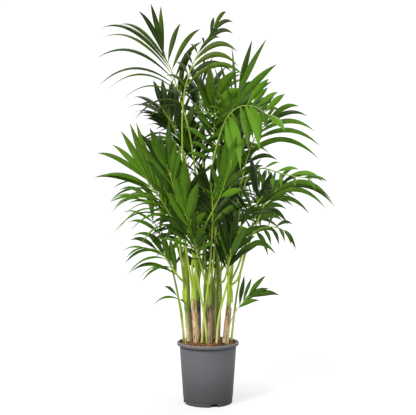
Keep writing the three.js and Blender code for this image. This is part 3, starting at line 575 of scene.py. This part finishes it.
def leaf_material(name, looks, lift):
    """Leaflet skin: parallel veins, a paler midrib, and a tone that differs from leaflet to leaflet."""
    paint = Paint(name, specular_ior_level=0.1)
    across, along, under = paint.strip()
    cloud = paint.noise(38)
    x, _, z = paint.parts(paint.place())
    light = paint.blend((z - x * 0.8).above(1.1, 1.35), looks.leaf_light, looks.leaf_olive)
    shade = paint.tone() + (cloud - 0.5) * 0.5 + lift
    veins = (across * 46).sine() * 0.5 + 0.5
    rib = 1 - abs(across).above(0.02, 0.09)
    foot = 1 - along.above(0, 0.12)
    dry = along.above(0.94, 1) * cloud.above(0.42, 0.6)
    green = paint.coats(
        looks.leaf_dark,
        (shade.above(-0.1, 1.1), light),
        (veins * 0.14 * cloud, looks.leaf_vein),
        (rib * 0.4, looks.leaf_vein),
        (foot * 0.5, looks.stalk_light),
        (dry * 0.7, looks.leaf_dry),
        (under * 0.25, looks.leaf_under))
    ridges = veins * 0.35 + rib * 1.4 + cloud * 0.5
    paint.wear(base_color=green, roughness=0.3 + 0.2 * cloud + under * 0.15,
               normal=paint.bump(ridges, 0.35, 0.8 * MM))
    paint.lit_through(looks.leaf_glow, 0.14)
    return paint.material


def stalk_material(looks):
    """Leaf stalks: yellow-green and ribbed lengthways, with brown scurf, and dry husk low down."""
    paint = Paint("stalk_skin", specular_ior_level=0.45)
    across, along, _ = paint.strip()
    cloud = paint.noise(30, stretch=(1, 1, 0.15))
    shade = paint.tone() * 0.5 + along * 0.6 + (cloud - 0.5) * 0.7
    specks = paint.noise(420, 1).above(0.66, 0.74) * (1 - along.above(0.1, 0.9))
    low = 1 - paint.parts(paint.place())[2].above(0.24, 0.46)
    husk = paint.noise(170, 4, stretch=(1, 1, 0.12), roughness=0.7).above(0.46, 0.56)
    green = paint.coats(
        looks.stalk_light,
        (shade.above(0.1, 1), looks.stalk_dark),
        (specks * 0.5, looks.stalk_speck),
        (low * husk * 0.7, looks.sheath_light),
        (low * cloud.above(0.5, 0.6) * 0.5, looks.sheath_dark),
        # Painted shade inside the clump darkens the stalks there.
        (paint.painted_clump_shade() * 0.75, looks.clump_shade_dark))
    ribs = (across * 30).sine()
    return paint.wear(base_color=green, roughness=0.4 + 0.15 * cloud,
                      normal=paint.bump(ribs * 0.3 + cloud, 0.3, 0.6 * MM))


def stem_material(looks):
    """Stem skin: green to yellow in long streaks, with dry tan patches and brown stains low down."""
    paint = Paint("stem_skin", specular_ior_level=0.4)
    _, along, edge = paint.strip()
    tone = paint.tone()
    streak = paint.noise(55, 4, stretch=(1, 1, 0.09))
    cloud = paint.noise(24, stretch=(1, 1, 0.4))
    fibre = paint.noise(210, 4, stretch=(1, 1, 0.1), roughness=0.7).above(0.5, 0.58)
    stain = paint.noise(130, 5, stretch=(1, 1, 0.25), roughness=0.7).above(0.54, 0.62)
    dry = (cloud + 0.35 * tone - 0.5 * along).above(0.28, 0.5)
    foot = 1 - along.above(0, 0.14)
    green = paint.coats(
        looks.stem_green,
        ((streak + tone * 0.4 - 0.2).above(0.3, 0.75), looks.stem_yellow),
        (dry * 0.75, looks.sheath_light),
        (fibre * (1 - along.above(0.45, 0.95)) * 0.65, looks.sheath_light),
        (stain * (1 - along.above(0.1, 0.85)) * 0.8, looks.sheath_dark),
        (foot * 0.6, looks.soil_dark),
        # Painted shade inside the clump darkens the stems there.
        (paint.painted_clump_shade() * 0.75, looks.clump_shade_dark))
    rings = (edge * 40).sine() * 0.2
    return paint.wear(base_color=green, roughness=0.45 + 0.25 * dry,
                      normal=paint.bump(streak * 1.2 + rings, 0.45, 1.2 * MM))


def sheath_material(looks):
    """Dry leaf sheath: tan, papery and fibrous, netted with brown, with pinkish patches."""
    paint = Paint("dry_sheath_skin", specular_ior_level=0.2)
    along = paint.strip()[1]
    fibre = paint.noise(230, 5, stretch=(1, 1, 0.06), roughness=0.7)
    net = paint.noise(150, 4, stretch=(1, 1, 0.22), roughness=0.7)
    cloud = paint.noise(30, stretch=(1, 1, 0.35))
    tan = paint.coats(
        looks.sheath_light,
        (fibre.above(0.42, 0.66), looks.sheath_dark),
        (cloud.above(0.45, 0.65) * 0.7, looks.sheath_pink),
        (net.above(0.54, 0.6) * 0.7, looks.sheath_dark),
        (along.above(0.85, 1) * 0.2, looks.sheath_dark),
        # Painted shade inside the clump darkens the sheaths there.
        (paint.painted_clump_shade() * 0.6, looks.clump_shade_dark))
    return paint.wear(base_color=tan, roughness=0.78 + 0.15 * fibre,
                      normal=paint.bump(fibre + net, 0.8, 2 * MM))


def pot_material(looks):
    """Recycled grey plastic: fine speckle, faint turned bands, soil dirt near the rim; painted highlight on the
    rim, painted shadow under it, painted shade towards the foot.
    """
    paint = Paint("pot_plastic_skin", specular_ior_level=0.22)
    height = paint.parts(paint.place())[2]
    speck = paint.noise(900, 2)
    bands = paint.noise(60, stretch=(0.06, 0.06, 1.6))
    cloud = paint.noise(9, 4)
    # Painted shade: the plastic gets darker towards the foot, with a cloudy edge.
    low = 1 - height.above(0, 0.75 * POT_HEIGHT)
    # Painted highlight on the rim's upper edge.
    rim = height.above(POT_HEIGHT - 5 * MM, POT_HEIGHT - 1 * MM)
    # Painted shadow in a band under the rolled rim.
    rim_foot = height.above(POT_HEIGHT - 12 * MM, POT_HEIGHT - 9 * MM)
    painted_rim_shadow = height.above(POT_HEIGHT - 26 * MM, POT_HEIGHT - 16 * MM) - rim_foot
    dirt = cloud.above(0.5, 0.7) * speck.above(0.4, 0.6) * height.above(0.9 * POT_HEIGHT, POT_HEIGHT)
    grey = paint.coats(
        looks.pot_upper,
        (low * 0.95 + (cloud - 0.5) * 0.3, looks.pot_painted_shade),
        ((speck - 0.5) * 1.4 + 0.16, looks.pot_speck_and_highlight),
        ((bands - 0.5) * 0.5 + 0.1, looks.pot_band),
        (rim * 0.75, looks.pot_speck_and_highlight),
        (painted_rim_shadow * 0.6, looks.pot_painted_shade),
        (dirt * 0.4, looks.soil_light))
    return paint.wear(base_color=grey, roughness=0.58 + 0.16 * cloud,
                      normal=paint.bump(speck * 0.6 + bands * 0.8, 0.35, 0.6 * MM))


def soil_material(looks):
    """Bark and coir: reddish brown crumbs, each with its own tone."""
    paint = Paint("soil_crumbs", specular_ior_level=0.2)
    cloud = paint.noise(120, 4)
    shade = paint.tone() + (cloud - 0.5) * 0.6
    fleck = paint.noise(300).above(0.62, 0.7)
    brown = paint.coats(
        looks.soil_dark,
        (shade.above(0, 0.9), looks.soil_light),
        (fleck * 0.5, looks.soil_fleck))
    return paint.wear(base_color=brown, roughness=0.82 + 0.12 * cloud,
                      normal=paint.bump(cloud, 0.8, 2 * MM))


# ---------------------------------------------------------------- pieces

def stem_point(stem, share):
    """A point on the middle line of a stem, from the soil up."""
    base = Vector((*stem["base"], 0)) * MM + UP * SOIL_TOP
    return base.lerp(Vector(stem["top"]) * MM, share)


def frond_line(frond):
    """The middle line of a frond's stalk, from its stem's top or from the soil to its tip."""
    points = [Vector(point) * MM for point in frond["via"]]
    if "stem" in frond:
        seat = math.radians(frond["seat"])
        top = Vector(STEMS[frond["stem"]]["top"]) * MM
        foot = top + Vector((SEAT_RADIUS * math.cos(seat), SEAT_RADIUS * math.sin(seat), STALK_LIFT))
        return Line([foot, foot + UP * STALK_RISE, *points])
    return Line([Vector((*frond["base"], 0)) * MM + UP * (SOIL_TOP + STALK_LIFT), *points])


def face_of(line, frond):
    """The way a frond's upper side looks: outwards from the pot's middle, up, and a little to the front."""
    outward = line.at((frond["bare"] + 1) / 2)[0]
    outward.z = 0
    return (outward.normalized() * 0.5 - BACK * frond["front"] + UP * 0.6).normalized()


def comb_tip(frond, start, along, face, sign, climb, chance):
    """Where a leaflet of a regular comb ends: the comb is longest in its middle and narrow at its tip."""
    spread = math.radians(mix(LOW_SPREAD_DEG, HIGH_SPREAD_DEG, climb) + SPREAD_CHANCE_DEG * chance)
    share = END_LENGTH + MIDDLE_LENGTH * math.sin(math.pi * (0.2 + 0.7 * climb)) + LENGTH_CHANCE * chance
    length = frond["long"] * MM * share
    across = along.cross(face).normalized()
    return (start + along * (length * math.cos(spread)) + across * (sign * length * math.sin(spread))
            - UP * (frond["droop"] * length * math.sin(spread)))


def listed_tip(frond, side, i, start, chance):
    """Where a listed leaflet ends, or a shorter one that stands between two of them."""
    (x0, z0), (x1, z1) = frond[side][math.floor(i)], frond[side][math.ceil(i)]
    forward = frond["depth"][("left", "right").index(side)] + DEPTH_CHANCE * chance
    tip = Vector(((x0 + x1) / 2 * MM, start.y - forward * MM, (z0 + z1) / 2 * MM))
    if i % 1:
        stray = BETWEEN_STRAY * (tip - start).length * chance
        tip = start.lerp(tip, BETWEEN_LENGTH + BETWEEN_CHANCE * chance) + stray
    return tip


def leaflet_ends(frond, line, face, seed):
    """Where each leaflet starts and ends, with the stalk's direction there and its own chance value."""
    for sign, side, offset in ((-1, "left", LEFT_OFFSET), (1, "right", RIGHT_OFFSET)):
        count = frond.get("pairs") or len(frond[side])
        steps = range(count)
        if frond["fill"]:
            steps = [i / 2 for i in range(2 * count - 1) if i % 2 == 0 or wobble(seed + i + sign) > -0.3]
        for i in steps:
            climb = (i + offset) / count
            start, along = line.at(min(mix(frond["bare"], 1, climb), 0.995))
            chance = wobble(seed + 7 * i + 3 * sign)
            if "pairs" in frond:
                tip = comb_tip(frond, start, along, face, sign, climb, chance)
            else:
                tip = listed_tip(frond, side, i, start, chance)
            yield start, tip, along, chance


def leaflet_rings(frond, face, start, tip, along, chance):
    """Rings of a thin leaflet, folded down from its midrib, and the marks for its paint."""
    chord = tip - start
    level = math.hypot(chord.x, chord.y)
    bow = start + chord * 0.5 + UP * (frond["arch"] * level) + along * (BOW_ALONG * chord.length)
    widest = min(frond["width"] * MM, frond["slender"] * chord.length)
    turn = Matrix.Rotation(math.radians(TWIST_DEG + TWIST_CHANCE_DEG * chance), 3, chord.normalized())
    sideways = turn @ chord.cross(face)
    rings, marks = [], []
    for r in range(LEAFLET_RINGS):
        t = r / (LEAFLET_RINGS - 1)
        centre = start * (1 - t) ** 2 + bow * (2 * t * (1 - t)) + tip * t**2
        run = ((bow - start) * (1 - t) + (tip - bow) * t).normalized()
        level_way = (sideways - run * sideways.dot(run)).normalized()
        across = Matrix.Rotation(math.radians(TIP_TWIST_DEG * chance * t), 3, run) @ level_way
        out = across.cross(run).normalized()
        shape = math.sin(math.pi * min(t, 0.999) ** 0.88) ** 1.05
        half = max(widest / 2 * shape, 0.25 * MM)
        fold = mix(0.5, 0.14, t) * half
        thick = mix(0.45, 0.2, t) * MM
        ripple = 0.05 * half * math.sin(11 * t + 6 * chance)
        ring = []
        for u, top in zip(ACROSS, TOP_SIDE, strict=True):
            rib = 0.35 * MM * (1 - t) if u == 0 else 0
            drop = -fold * abs(u) ** 1.3 + ripple * u + rib
            ring.append(centre + across * (u * half) + out * (drop + top * thick))
        rings.append(ring)
        marks.append([(u, t, 1 if top < 0 else 0) for u, top in zip(ACROSS, TOP_SIDE, strict=True)])
    return rings, marks


def stalk_rings(line, thin):
    """Rings of a stalk: broad and clasping at its foot, then tapering to the frond's tip."""
    rings, marks = [], []
    for r in range(-3, STALK_RINGS):
        share = max(r, 0) / (STALK_RINGS - 1)
        centre, run = line.at(share)
        if r < 0:
            centre = centre + UP * (STALK_ROOTED * thin * r / 3)
        across = BACK.cross(run).normalized()
        out = run.cross(across)
        radius = mix(PETIOLE_RADIUS, RACHIS_TIP_RADIUS, share**STALK_TAPER) * thin
        radius *= 1 + 0.5 * max(0, 1 - share / 0.1) ** 2
        rings.append(circle(centre, across, out, radius, STALK_SIDES, 0.86))
        marks.append([(math.tau * i / STALK_SIDES / 3, share, 0) for i in range(STALK_SIDES)])
    return rings, marks


def build_frond(node, frond, seed, materials):
    """A frond: its stalk and midrib in one tube, and a tube for each leaflet."""
    line = frond_line(frond)
    face = face_of(line, frond)
    ends = list(leaflet_ends(frond, line, face, seed))
    skin = Skin(len(ends) + 1)
    skin.tube(*stalk_rings(line, frond["thin"]), tone=frond["tone"], slot=1)
    for start, tip, along, chance in ends:
        tone = frond["tone"] + TONE_CHANCE * chance
        skin.tube(*leaflet_rings(frond, face, start, tip, along, chance), tone=tone)
    piece = skin.finish(f"{node}_piece", materials, sharp_deg=60)
    settle(piece, node)


def build_stem(node, stem, seed, material):
    """A short stem of rolled leaf bases: each older base ends in a slanting edge round it."""
    rings, marks = [], []
    sides, count = 28, 40
    base_radius, top_radius = 9.8 * MM, 9 * MM
    for r in range(count):
        share = r / (count - 1)
        centre = stem_point(stem, share) - UP * (4 * MM * (1 - share))
        ring, ring_marks = [], []
        for i in range(sides):
            turn = math.tau * i / sides
            edge = (share * 3.2 + 0.12 * math.cos(turn + seed)) % 1
            radius = mix(base_radius, top_radius, share) * (1.07 - 0.11 * edge)
            radius *= 1 + 0.12 * max(0, 1 - share / 0.12) ** 2
            radius *= 1 - 0.35 * max(0, (share - 0.9) / 0.1) ** 2
            radius *= 1 + 0.05 * noise.noise(way_round(turn) + UP * (share * 2 + seed))
            ring.append(centre + way_round(turn) * radius)
            ring_marks.append((turn / math.pi, share, edge))
        rings.append(ring)
        marks.append(ring_marks)
    skin = Skin(1)
    skin.tube(rings, marks, tone=0.5 + 0.5 * wobble(seed))
    settle(skin.finish(f"{node}_piece", [material]), node)


def build_sheath(node, stem, seed, material):
    """A dry sheath: a loose coat round part of its stem, narrower and frayed towards its upper edge."""
    sides, count, wall = 44, 36, 0.9 * MM
    low_radius, high_radius = 10.7, 10.4
    first, last = (math.radians(turn) for turn in stem["coat"])
    height = (stem["sheath"] * MM - SOIL_TOP) / (stem["top"][2] * MM - SOIL_TOP)
    rings, marks = [], []
    for r in range(count):
        level = r / (count - 1)
        torn = 0.22 * (last - first) * level**2
        outer, inner, outer_marks, inner_marks = [], [], [], []
        for i in range(sides):
            turn = mix(first + torn, last - torn * (0.5 + 0.5 * wobble(seed)), i / (sides - 1))
            way = way_round(turn)
            fray = 0.26 * noise.noise(way * 11 + UP * seed) + 0.18 * noise.noise(way * 2.3 + UP * seed)
            share = level * height * (0.84 + fray)
            flare = 1.2 * MM * level**3 + 0.9 * MM * noise.noise(way * 3 + UP * (share * 8 + seed))
            radius = mix(low_radius, high_radius, level) * MM + flare
            centre = stem_point(stem, share) - UP * (3 * MM * (1 - level))
            outer.append(centre + way * (radius + wall))
            inner.append(centre + way * (radius - wall / 2))
            outer_marks.append((turn, level, 0))
            inner_marks.append((turn, level, 1))
        rings.append(outer + inner[::-1])
        marks.append(outer_marks + inner_marks[::-1])
    skin = Skin(1)
    skin.tube(rings, marks, tone=0.5)
    settle(skin.finish(f"{node}_piece", [material]), node)


def arc(r, z, radius, first, last, steps):
    """Points round a middle, from one turn to another in degrees."""
    turns = (math.radians(mix(first, last, i / steps)) for i in range(steps + 1))
    return [(r + radius * math.cos(turn), z + radius * math.sin(turn)) for turn in turns]


def pot_profile(sizes):
    """The pot's section in radius and height, from the middle of its underside to that of its floor."""
    foot, top, wall = sizes.foot_radius, sizes.wall_radius, sizes.wall
    lip = POT_HEIGHT - sizes.rim_height
    bevel, dent = 3 * MM, sizes.groove_depth

    def side(z):
        return mix(foot, top, z / POT_HEIGHT)

    outer = [(1 * MM, 0), (foot - 12 * MM, 0)] + arc(foot - bevel, bevel, bevel, -90, 0, 5)
    outer += [(foot, 11 * MM), (foot - 0.3 * MM, 12.5 * MM), (foot - dent, 13.5 * MM),
              (foot - dent, 17 * MM), (side(0.02) - 0.3 * MM, 18.4 * MM)]
    outer += [(side(z), z) for z in (0.02, 0.03, 0.08, 0.13, 0.18, 0.205)]
    outer += [(side(lip - 2 * MM), lip - 3 * MM), (side(lip), lip - 1 * MM)]
    outer += arc(RIM_RADIUS - 2.5 * MM, lip + 2 * MM, 2.5 * MM, -90, 0, 4)
    outer += arc(RIM_RADIUS - 4 * MM, POT_HEIGHT - 4 * MM, 4 * MM, 8, 90, 6)
    inner = arc(side(POT_HEIGHT) + 3 * MM, POT_HEIGHT - 3 * MM, 3 * MM, 90, 180, 4)
    inner += [(side(lip) - wall, lip - 6 * MM), (side(0.12) - wall, 0.12),
              (side(0.026) - wall - dent, 26 * MM), (foot - wall - dent, 6 * MM),
              (foot - wall - dent - 4 * MM, wall), (1 * MM, wall)]
    return outer + inner


def notch_cutter(sizes, turn):
    """A block with a rounded top, for cutting one drainage notch."""
    wide, high, deep = sizes.notch_width / 2, sizes.notch_height, 12 * MM
    corner = 3.5 * MM
    outline = [(-wide, -5 * MM), (wide, -5 * MM)]
    outline += arc(wide - corner, high - corner, corner, 0, 90, 4)
    outline += arc(corner - wide, high - corner, corner, 90, 180, 4)
    cutter = bmesh.new()
    near = [cutter.verts.new((x, -deep, z)) for x, z in outline]
    far = [cutter.verts.new((x, deep, z)) for x, z in outline]
    cutter.faces.new(near)
    cutter.faces.new(far[::-1])
    for i in range(len(outline)):
        j = (i + 1) % len(outline)
        cutter.faces.new((near[i], far[i], far[j], near[j]))
    bmesh.ops.recalc_face_normals(cutter, faces=cutter.faces)
    cutter.transform(Matrix.Rotation(turn, 4, "Z") @ Matrix.Translation((0, -sizes.foot_radius, 0)))
    mesh = bpy.data.meshes.new("notch_cutter")
    cutter.to_mesh(mesh)
    cutter.free()
    return add_object("notch_cutter", mesh)


def build_pot(sizes, material):
    """The pot: its section turned round its axis, with the drainage notches cut out of its foot."""
    sides = 144
    profile = pot_profile(sizes)
    skin = Skin(1)
    rings = [hoop(r, z, sides) for r, z in profile]
    marks = [[(i / sides, z, 0) for i in range(sides)] for r, z in profile]
    skin.tube(rings, marks, tone=0.5)
    pot = skin.finish("grow_pot_piece", [material], sharp_deg=40)
    for i in range(sizes.notch_count):
        block = notch_cutter(sizes, math.radians(sizes.notch_turn + 360 * i / sizes.notch_count))
        cut = pot.modifiers.new("notch", "BOOLEAN")
        cut.operation, cut.solver, cut.object = "DIFFERENCE", "EXACT", block
        graph = bpy.context.evaluated_depsgraph_get()
        mesh = bpy.data.meshes.new_from_object(pot.evaluated_get(graph))
        pot.modifiers.clear()
        pot.data = mesh
        bpy.data.objects.remove(block)
    settle(pot, "grow_pot")


def crumb(skin, middle, size, chance):
    """One bark crumb: a squashed, uneven lump turned its own way."""
    turn = Matrix.Rotation(chance.uniform(0, math.tau), 3, Vector([chance.uniform(-1, 1) for _ in range(3)]))
    long, wide, flat = size * chance.uniform(0.8, 1.7), size * chance.uniform(0.5, 0.9), size * 0.4
    rings, sides = [], 6
    for z, radius in ((-1, 0.35), (-0.5, 0.9), (0.4, 1), (1, 0.4)):
        ring = []
        for i in range(sides):
            angle = math.tau * i / sides
            uneven = chance.uniform(0.75, 1.2) * radius
            shape = Vector((math.cos(angle) * uneven * wide, math.sin(angle) * uneven * flat, z * long / 2))
            ring.append(middle + turn @ shape)
        rings.append(ring)
    skin.tube(rings, [[(0, 0, 0)] * sides] * len(rings), tone=chance.uniform(0, 1) ** 1.4)


def build_soil(sizes, material):
    """The soil: an uneven bed under the rim, strewn with bark crumbs."""
    chance = random.Random(sizes.soil_seed)
    sides, rings = 72, []
    skin = Skin(1 + sizes.crumb_count)
    bed = SOIL_TOP + sizes.soil_rise
    section = [(2 * MM, 4 * MM), (sizes.foot_radius - 34 * MM, 5 * MM),
               (sizes.foot_radius - 8 * MM, 40 * MM), (SOIL_RADIUS - 3 * MM, SOIL_TOP - 12 * MM)]
    section += [(SOIL_RADIUS * (1 - i / 16), bed + sizes.soil_heap * math.sin(math.pi * i / 30))
                for i in range(16)]
    for r, z in section:
        ring = hoop(r, z, sides)
        if z > SOIL_TOP / 2:
            ring = [p + UP * (3.5 * MM * noise.noise(p * 60) + 2 * MM * noise.noise(p * 160)) for p in ring]
        rings.append(ring)
    skin.tube(rings, [[(0, 0, 0)] * sides] * len(rings), tone=0.25)
    for _ in range(sizes.crumb_count):
        radius, angle = (SOIL_RADIUS - 5 * MM) * math.sqrt(chance.random()), chance.uniform(0, math.tau)
        heap = sizes.soil_heap * math.sin(math.pi / 2 * (1 - radius / SOIL_RADIUS)) ** 0.7
        lift = heap + chance.uniform(-1, 3.5) * MM
        middle = Vector((radius * math.cos(angle), radius * math.sin(angle), bed + lift))
        crumb(skin, middle, chance.uniform(2.2, 6.5) * MM, chance)
    settle(skin.finish("potting_soil_piece", [material], sharp_deg=35), "potting_soil")


# ---------------------------------------------------------------- studio

def build_floor(looks):
    """A pale round floor that curves up into a wall on every side."""
    paint = Paint("studio_floor", specular_ior_level=0.0, emission_strength=0.84)
    cloud = paint.noise(3, 2)
    x, y, z = paint.parts(paint.place())
    away = (x * x + y * y).above(0.2, 6)
    glow = paint.blend(away.most(z.above(0, 1.6)), (0.8, 0.8, 0.8), (1, 1, 1))
    paint.wear(base_color=looks.floor, roughness=0.85 + 0.05 * cloud, emission_color=glow)
    reach, bend, high, sides = 6.2, 2.0, 7.5, 96
    section = [(0.01, 0), (1.5, 0), *arc(reach - bend, bend, bend, -90, 0, 12), (reach, high)]
    points = [point for radius, z in section for point in hoop(radius, z, sides)]
    faces = [(a + i, a + (i + 1) % sides, a + sides + (i + 1) % sides, a + sides + i)
             for a in range(0, sides * (len(section) - 1), sides) for i in range(sides)]
    faces.append(tuple(reversed(range(sides))))
    mesh = bpy.data.meshes.new("studio_floor")
    mesh.from_pydata(points, [], faces)
    mesh.materials.append(paint.material)
    mesh.shade_smooth()
    add_object("studio_floor", mesh)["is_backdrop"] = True


def area_light(name, place, size, power):
    """A round white light that looks at the middle of the plant."""
    data = bpy.data.lights.new(name, "AREA")
    data.shape, data.size, data.energy = "DISK", size, power
    light = add_object(name, data)
    light.location = place
    light.rotation_euler = (Vector((0, 0, 0.8)) - Vector(place)).to_track_quat("-Z", "Y").to_euler()


def build_lights():
    """A soft key from the upper left, a weaker fill from the right, lights over and behind, and open air."""
    area_light("key_light", (-2.4, -2.9, 3.6), 1.7, 270)
    area_light("fill_light", (3.0, -2.6, 1.6), 2.0, 25)
    area_light("top_light", (0.3, 0.9, 4.4), 1.4, 110)
    area_light("back_light", (1.6, 3.4, 3.0), 1.6, 35)
    world = bpy.data.worlds.new("studio_air")
    world.use_nodes = True
    surround = world.node_tree.nodes["Background"]
    surround.inputs["Color"].default_value = (1, 1, 1, 1)
    surround.inputs["Strength"].default_value = 0.25
    bpy.context.scene.world = world


def build_camera():
    """A level camera straight in front of the plant."""
    data = bpy.data.cameras.new("camera")
    data.lens, data.sensor_width = 66.6, 36
    camera = add_object("camera", data)
    camera.location = (0, -3.0, 0.757)
    camera.rotation_euler = (math.radians(90), 0, 0)
    bpy.context.scene.camera = camera
    bpy.context.scene.view_settings.view_transform = "Standard"


# ---------------------------------------------------------------- add-on

def colour(name, description, *value):
    return FloatVectorProperty(
        name=name, description=description, default=value, min=0, max=1, subtype="COLOR")


def length(name, description, value):
    return FloatProperty(name=name, description=description, default=value, min=0, unit="LENGTH")


class PalmSizes(bpy.types.PropertyGroup):
    """Sizes of the pot and the soil."""

    foot_radius: length("Foot radius", "Outer radius of the pot at its foot", 95 * MM)
    wall_radius: length("Wall radius", "Outer radius the wall would have at the rim's height", 111.5 * MM)
    wall: length("Wall", "Thickness of the pot's wall", 2 * MM)
    rim_height: length("Rim height", "Height of the rolled rim", 12 * MM)
    groove_depth: length("Groove depth", "Depth of the groove above the foot", 1 * MM)
    notch_width: length("Notch width", "Width of a drainage notch", 27 * MM)
    notch_height: length("Notch height", "Height of a drainage notch", 12 * MM)
    notch_count: IntProperty(
        name="Notches", description="How many drainage notches", default=4, min=0, max=12)
    notch_turn: FloatProperty(
        name="Notch turn", description="Where the first notch is, in degrees from the front", default=15)
    soil_rise: length("Soil rise", "How much the crumbs stand above the packed soil", 4 * MM)
    soil_heap: length("Soil heap", "How much higher the soil stands in its middle", 8 * MM)
    crumb_count: IntProperty(
        name="Crumbs", description="How many bark crumbs lie on the soil", default=1500, min=0, max=5000)
    soil_seed: IntProperty(name="Soil seed", description="Chooses how the crumbs lie", default=4, min=0)


class PalmLooks(bpy.types.PropertyGroup):
    """Colours of every finish."""

    leaf_dark: colour("Leaf dark", "Leaflets in their darkest tone", 0.004, 0.014, 0.0007)
    leaf_light: colour("Leaf light", "Leaflets in their lightest tone", 0.072, 0.172, 0.007)
    leaf_olive: colour("Leaf olive", "The lightest tone of the tallest leaves", 0.066, 0.108, 0.003)
    leaf_vein: colour("Leaf vein", "Midrib and veins", 0.1, 0.18, 0.01)
    leaf_under: colour("Leaf underside", "Underside of the leaflets", 0.04, 0.09, 0.006)
    leaf_dry: colour("Leaf dry tip", "Dry leaflet tips", 0.23, 0.13, 0.05)
    leaf_glow: colour("Leaf glow", "Light that comes through a leaflet", 0.1, 0.224, 0.012)
    stalk_light: colour("Stalk light", "Stalks near the stems", 0.27, 0.38, 0.012)
    stalk_dark: colour("Stalk dark", "Stalks among the leaflets", 0.12, 0.21, 0.008)
    stalk_speck: colour("Stalk speck", "Brown scurf on the stalks", 0.12, 0.07, 0.02)
    stem_green: colour("Stem green", "Fresh stem skin", 0.1, 0.2, 0.008)
    stem_yellow: colour("Stem yellow", "Paler streaks of the stems", 0.34, 0.4, 0.035)
    # This colour is painted shade inside the clump, laid on the stems, stalks and sheaths there.
    clump_shade_dark: colour("Inner dark", "Dirt and scurf inside the clump", 0.02, 0.026, 0.005)
    sheath_light: colour("Sheath light", "Dry sheath", 0.55, 0.43, 0.24)
    sheath_dark: colour("Sheath dark", "Fibres of the dry sheath", 0.085, 0.045, 0.018)
    sheath_pink: colour("Sheath pink", "Fresher patches of the dry sheath", 0.36, 0.2, 0.13)
    pot_upper: colour("Pot upper", "Plastic near the rim", 0.074, 0.0745, 0.081)
    # Painted shade: a darkened copy of the pot's grey, laid towards the foot and under the rim.
    pot_painted_shade: colour("Pot lower", "Plastic near the foot", 0.013, 0.013, 0.015)
    # Light specks of the plastic, and also the painted highlight on the rim's upper edge.
    pot_speck_and_highlight: colour("Pot speck", "Light specks of the plastic", 0.15, 0.152, 0.158)
    pot_band: colour("Pot band", "Faint turned bands", 0.064, 0.065, 0.07)
    soil_dark: colour("Soil dark", "Moist soil", 0.05, 0.022, 0.008)
    soil_light: colour("Soil light", "Bark crumbs", 0.26, 0.115, 0.045)
    soil_fleck: colour("Soil fleck", "Pale fibres in the soil", 0.3, 0.18, 0.08)
    floor: colour("Floor", "The studio floor", 0.22, 0.22, 0.22)


class PALM_OT_pot(bpy.types.Operator):
    """Build the grow pot"""

    bl_idname = "palm.pot"
    bl_label = "Grow pot"

    def execute(self, context):
        build_pot(context.scene.palm_sizes, pot_material(context.scene.palm_looks))
        return {"FINISHED"}


class PALM_OT_soil(bpy.types.Operator):
    """Fill the pot with soil"""

    bl_idname = "palm.soil"
    bl_label = "Potting soil"

    def execute(self, context):
        build_soil(context.scene.palm_sizes, soil_material(context.scene.palm_looks))
        return {"FINISHED"}


class PALM_OT_stems(bpy.types.Operator):
    """Grow the short stems"""

    bl_idname = "palm.stems"
    bl_label = "Stems"

    def execute(self, context):
        material = stem_material(context.scene.palm_looks)
        for seed, (number, stem) in enumerate(STEMS.items()):
            build_stem(f"stem_{number}", stem, seed, material)
        return {"FINISHED"}


class PALM_OT_sheaths(bpy.types.Operator):
    """Wrap the dry sheaths round the stems"""

    bl_idname = "palm.sheaths"
    bl_label = "Dry sheaths"

    def execute(self, context):
        material = sheath_material(context.scene.palm_looks)
        for seed, (number, stem) in enumerate(STEMS.items()):
            if stem["sheath"]:
                build_sheath(f"dry_sheath_{number}", stem, seed, material)
        return {"FINISHED"}


class PALM_OT_fronds(bpy.types.Operator):
    """Grow the fronds, each one piece from its stalk to its leaflets"""

    bl_idname = "palm.fronds"
    bl_label = "Fronds"

    def execute(self, context):
        looks = context.scene.palm_looks
        stalk = stalk_material(looks)
        leaf = leaf_material("leaf_skin", looks, 0)
        young = leaf_material("young_leaf_skin", looks, 0.15)
        for index, (name, own) in enumerate(FRONDS.items()):
            frond = {**FROND_DEFAULTS, **own}
            skins = [young if frond["young"] else leaf, stalk]
            build_frond(f"frond_{name}", frond, FROND_SEED_STEP * index, skins)
        return {"FINISHED"}


class PALM_OT_studio(bpy.types.Operator):
    """Set the floor, the lights and the camera"""

    bl_idname = "palm.studio"
    bl_label = "Studio"

    def execute(self, context):
        build_floor(context.scene.palm_looks)
        build_lights()
        build_camera()
        return {"FINISHED"}


class PALM_PT_panel(bpy.types.Panel):
    """The palm's pieces, sizes and colours"""

    bl_idname = "PALM_PT_panel"
    bl_label = "Potted palm"
    bl_space_type = "VIEW_3D"
    bl_region_type = "UI"
    bl_category = "Potted palm"

    def draw(self, context):
        for operator in OPERATORS:
            self.layout.operator(operator.bl_idname)
        for group in (context.scene.palm_sizes, context.scene.palm_looks):
            box = self.layout.box()
            for word in group.__annotations__:
                box.prop(group, word)


OPERATORS = (PALM_OT_pot, PALM_OT_soil, PALM_OT_stems, PALM_OT_sheaths, PALM_OT_fronds, PALM_OT_studio)
CLASSES = (PalmSizes, PalmLooks, *OPERATORS, PALM_PT_panel)


def register():
    for item in CLASSES:
        bpy.utils.register_class(item)
    bpy.types.Scene.palm_sizes = PointerProperty(type=PalmSizes)
    bpy.types.Scene.palm_looks = PointerProperty(type=PalmLooks)


def unregister():
    del bpy.types.Scene.palm_looks
    del bpy.types.Scene.palm_sizes
    for item in reversed(CLASSES):
        bpy.utils.unregister_class(item)


def main():
    """Builds the palm and its studio."""
    register()
    for operator in OPERATORS:
        family, word = operator.bl_idname.split(".")
        getattr(getattr(bpy.ops, family), word)()
    bounds = {"cad": CAD_BOUNDS, "visual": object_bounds()}
    sizes = {name: [list(corner) for corner in box] for name, box in bounds.items()}


if __name__ == "__main__":
    main()
